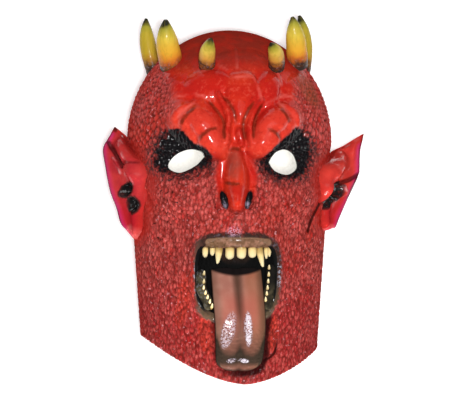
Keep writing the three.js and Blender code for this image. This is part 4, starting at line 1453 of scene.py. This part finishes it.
def jaw_paint():
    """Nearly black at the top of each side, and olive brown further down, with painted glints on the viewer's
    left.
    """
    paint = Paint("lower gum paint", roughness=0.5)
    cloud = paint.noise(150)
    left = paint.axis("X").rising(-0.02, -0.028)
    upper = (paint.axis("Y") - left * 0.014).rising(-0.086, -0.072)
    colour = paint.coats(
        paint.mix(cloud.rising(0.35, 0.65), (0.02, 0.017, 0.012), (0.07, 0.058, 0.034)),
        (upper * 0.92, (0.007, 0.007, 0.007)),
        # painted glints on the viewer's left
        (left * paint.noise(430).rising(0.5, 0.68) * 0.3, (0.3, 0.3, 0.34)),
    )
    return paint.finish(colour, bump=cloud + paint.noise(600) * 0.4, distance=0.0012)


def build_upper_gum():
    """An arched bar that swells over each tooth."""
    rows, sides = UPPER_GUM_GRID
    s = np.linspace(-1, 1, rows)
    x = s * GUM_HALF_WIDTH
    spine = np.column_stack([x, GUM_Y + 1.6 * (1 - s**2), gum_arch_z(x) - 1.5])
    down = np.tile([0.0, -1.0, 0.0], (len(x), 1))
    out = np.cross(down, unit(np.gradient(spine, axis=0)))
    scallop = sum(np.exp(-((x - tooth.x) / (tooth.half * 0.9)) ** 2) for tooth in UPPER_TEETH)
    radius = GUM_RADIUS * (1.08 - 0.3 * s**2 - 0.2 * s**8)
    rings = bar_rings(spine, down, out, radius + 0.9 * scallop, radius + 0.6 * scallop, sides)
    return closed_rings("upper_gum", rings, spine[[0, -1]])


def build_lower_gum(row):
    """A soft bar from the lower teeth out to the lip."""
    rows, sides = LOWER_GUM_GRID
    share = np.linspace(0, 1, rows)
    top, bottom = (row[0][0], row[0][1] + 3), (row[-1][0], LOWER_GUM_END_Y)
    line = along_curve([(x * 1.05, y, LOWER_Z) for x, y in [top, *row[1:-1], bottom]], share)
    out = np.tile([0.0, 0.0, 1.0], (len(share), 1))
    across = np.cross(out, unit(np.gradient(line, axis=0)))
    radius = LOWER_RADIUS * np.sqrt(np.clip(1 - (2 * share - 1) ** 10, 0.1, 1))
    return closed_rings("lower_gum", bar_rings(line, across, out, radius, radius, sides), line[[0, -1]])


gum_finish = gum_paint()
as_piece(build_upper_gum(), gum_finish)
as_piece(joined("lower_gum", [build_lower_gum(row) for row in LOWER_TEETH]), jaw_paint())


# Tongue

TONGUE_SPINE = [(0.3, -63, 187), (1.8, -86, 195.5), (3.2, -108, 199.5), (3, -130, 196.5), (2.2, -148.5, 188)]
TONGUE_HALF_WIDTH, TONGUE_HALF_THICKNESS, TONGUE_ROOT_THICKNESS = 22, 7, 13
TONGUE_ROWS, TONGUE_SIDES, LUMP_RISE = 200, 120, 0.5
THROAT_Y, THROAT_BOW = -67.5, 5  # the tongue is black above this, in the shade of the teeth
# Where the tongue is varnished wet and glints are painted: two long patches, and the two sides of the tip.
WET_PATCHES = [
    Form(-7.3, -114, 18, 6.3, 76), Form(9.8, -113, 17, 3.8, 92),
    Form(-4.5, -140.5, 4.5, 2.2, 10), Form(6.5, -140.5, 4.5, 2.2, -10),
]


def tongue_rings(t, c, s):
    """Rings along the tongue: flat, with a groove down its middle, raised edges and a round tip."""
    spine = along_curve(TONGUE_SPINE, t)
    across = np.tile([1.0, 0.0, 0.0], (len(t), 1))
    up = np.cross(across, unit(np.gradient(spine, axis=0)))
    up *= np.sign(up[:, 2:])
    round_end = np.sqrt(np.clip(1 - np.maximum(0, (t - 0.86) / 0.141) ** 2.5, 0.002, 1))
    half = (TONGUE_HALF_WIDTH * mix(1, 0.9, t) + 1.2 * np.sin(PI * t)) * (0.35 + 0.65 * round_end)
    under = mix(TONGUE_ROOT_THICKNESS, TONGUE_HALF_THICKNESS, ease(t, 0.3, 0.55))[:, None]
    thick = np.where(s < 0, under, TONGUE_HALF_THICKNESS)
    groove = 1 - 0.5 * np.exp(-((c / 0.16) ** 2)) * (s > 0)
    edge = 1 + 0.12 * np.exp(-(((np.abs(c) - 0.72) / 0.16) ** 2)) * (s > 0)
    lift = s * groove * edge * thick * (0.4 + 0.6 * round_end)[:, None]
    return spine[:, None] + across[:, None] * (half[:, None] * c)[..., None] + up[:, None] * lift[..., None]


def tongue_lumps(rng, shape):
    """Small random lumps, smoothed along and across."""
    lumps = rng.normal(size=shape)
    for axis, times in ((0, 2), (1, 1)):
        for _ in range(times):
            lumps = (lumps + np.roll(lumps, 1, axis) + np.roll(lumps, -1, axis)) / 3
    return lumps


def build_tongue():
    t = np.linspace(0, 1, TONGUE_ROWS)
    turn = np.arange(TONGUE_SIDES) * 2 * PI / TONGUE_SIDES
    c, s = signed_power(np.cos(turn), 0.8), np.sin(turn)
    rings = tongue_rings(t, c, s)
    lumps = tongue_lumps(np.random.default_rng(SEED + 2), rings.shape[:2])
    rings[..., 2] += LUMP_RISE * lumps * (s > 0.2) * ease(t, 0.5, 0.62)[:, None]
    x, y = rings[..., 0], rings[..., 1]
    shade = THROAT_Y + THROAT_BOW * (x / TONGUE_HALF_WIDTH) ** 2
    wet = np.maximum.reduce([ease(in_ellipse(x, y, form), 0, 0.5) for form in WET_PATCHES])
    marks = {
        "across": np.tile(np.abs(c), (len(t), 1)),
        "along": np.tile(t[:, None], (1, len(turn))),
        "centre": np.tile(c, (len(t), 1)),
        "wet": wet * (s > 0),
        "throat": ease(y, shade - 1.5, shade + 1.5),
    }
    return closed_rings("tongue", rings, [TONGUE_SPINE[0], rings[-1].mean(0)], marks)


def tongue_paint():
    """Brown latex, darker towards the tip, with shade painted in the groove, along the edges and under the
    tip, the teeth's shade painted at the root, and glints painted on the varnished patches.
    """
    paint = Paint("tongue paint")
    across, along, centre, wet = (paint.mark(n) for n in ("across", "along", "centre", "wet"))
    cloud, ripple = paint.noise(70), paint.noise(760, detail=2)
    middle = along.rising(0.15, 0.38) * (1 - along.rising(0.45, 0.65)) * (1 - across.rising(0.5, 0.85))
    # Shade painted in the middle groove, wide at the root and fading towards the tip.
    groove = (1 - (across + along * 0.12).rising(0.02, 0.32)) * (1 - along.rising(0.35, 0.7) * 0.45)
    arched = along + (across - 0.45) * (across - 0.45) * 0.25 + (cloud - 0.5) * 0.12
    # Shade painted along the tongue's sides near the tip.
    sides = (across - 0.8).rising(0.0, 0.15) * along.rising(0.55, 0.75)
    band = arched.rising(0.72, 0.85) * (1 - along.rising(0.86, 0.97)) + sides
    # A highlight streak painted down the right patch.
    streak = wet.rising(0.4, 1.0) * centre.rising(0.0, 0.1) * (cloud.rising(0.3, 0.6) * 0.5 + 0.3)
    colour = paint.coats(
        paint.mix(cloud.rising(0.35, 0.7), (0.29, 0.115, 0.085), (0.35, 0.17, 0.125)),
        (centre.rising(0.0, 0.5) * 0.6, (0.26, 0.085, 0.04)),
        (middle * 0.6, (0.41, 0.11, 0.08)),
        (along.rising(0.55, 0.76) * 0.85, (0.13, 0.055, 0.038)),
        # shade painted along the edges, more on the right
        (across.rising(0.6, 0.97) * (centre.rising(-0.2, 0.2) * 0.35 + 0.4), (0.11, 0.06, 0.035)),
        # painted shade in the groove
        (groove * 0.85, (0.04, 0.02, 0.012)),
        # a dark band before the tip, and painted shade along the sides near the tip
        (band.rising(0.0, 1.0) * 0.88, (0.02, 0.018, 0.013)),
        # painted shade on the edge
        (across.rising(0.94, 1.0), (0.012, 0.008, 0.006)),
        # painted shade under the tip's end
        ((along + across * 0.02).rising(0.95, 0.995) * 0.9, (0.018, 0.008, 0.006)),
        # the teeth's shade, painted black at the root
        (paint.mark("throat"), (0.008, 0.006, 0.006)),
        # painted glints on the varnished patches
        (wet * ripple.rising(0.42, 0.6) * 0.65, (0.66, 0.56, 0.64)),
        # painted highlight streak
        (streak * ripple.rising(0.34, 0.56), (0.76, 0.7, 0.78)),
        # painted dark between the painted glints
        (wet * ripple.rising(0.46, 0.38) * 0.5, (0.12, 0.06, 0.06)),
    )
    roughness, height, shine = 0.42 - wet * 0.12, ripple * (wet * 1.6 + 0.1), wet * 0.22 + 0.04
    return paint.finish(colour, height, 0.0018, roughness, shine)


as_piece(build_tongue(), tongue_paint())
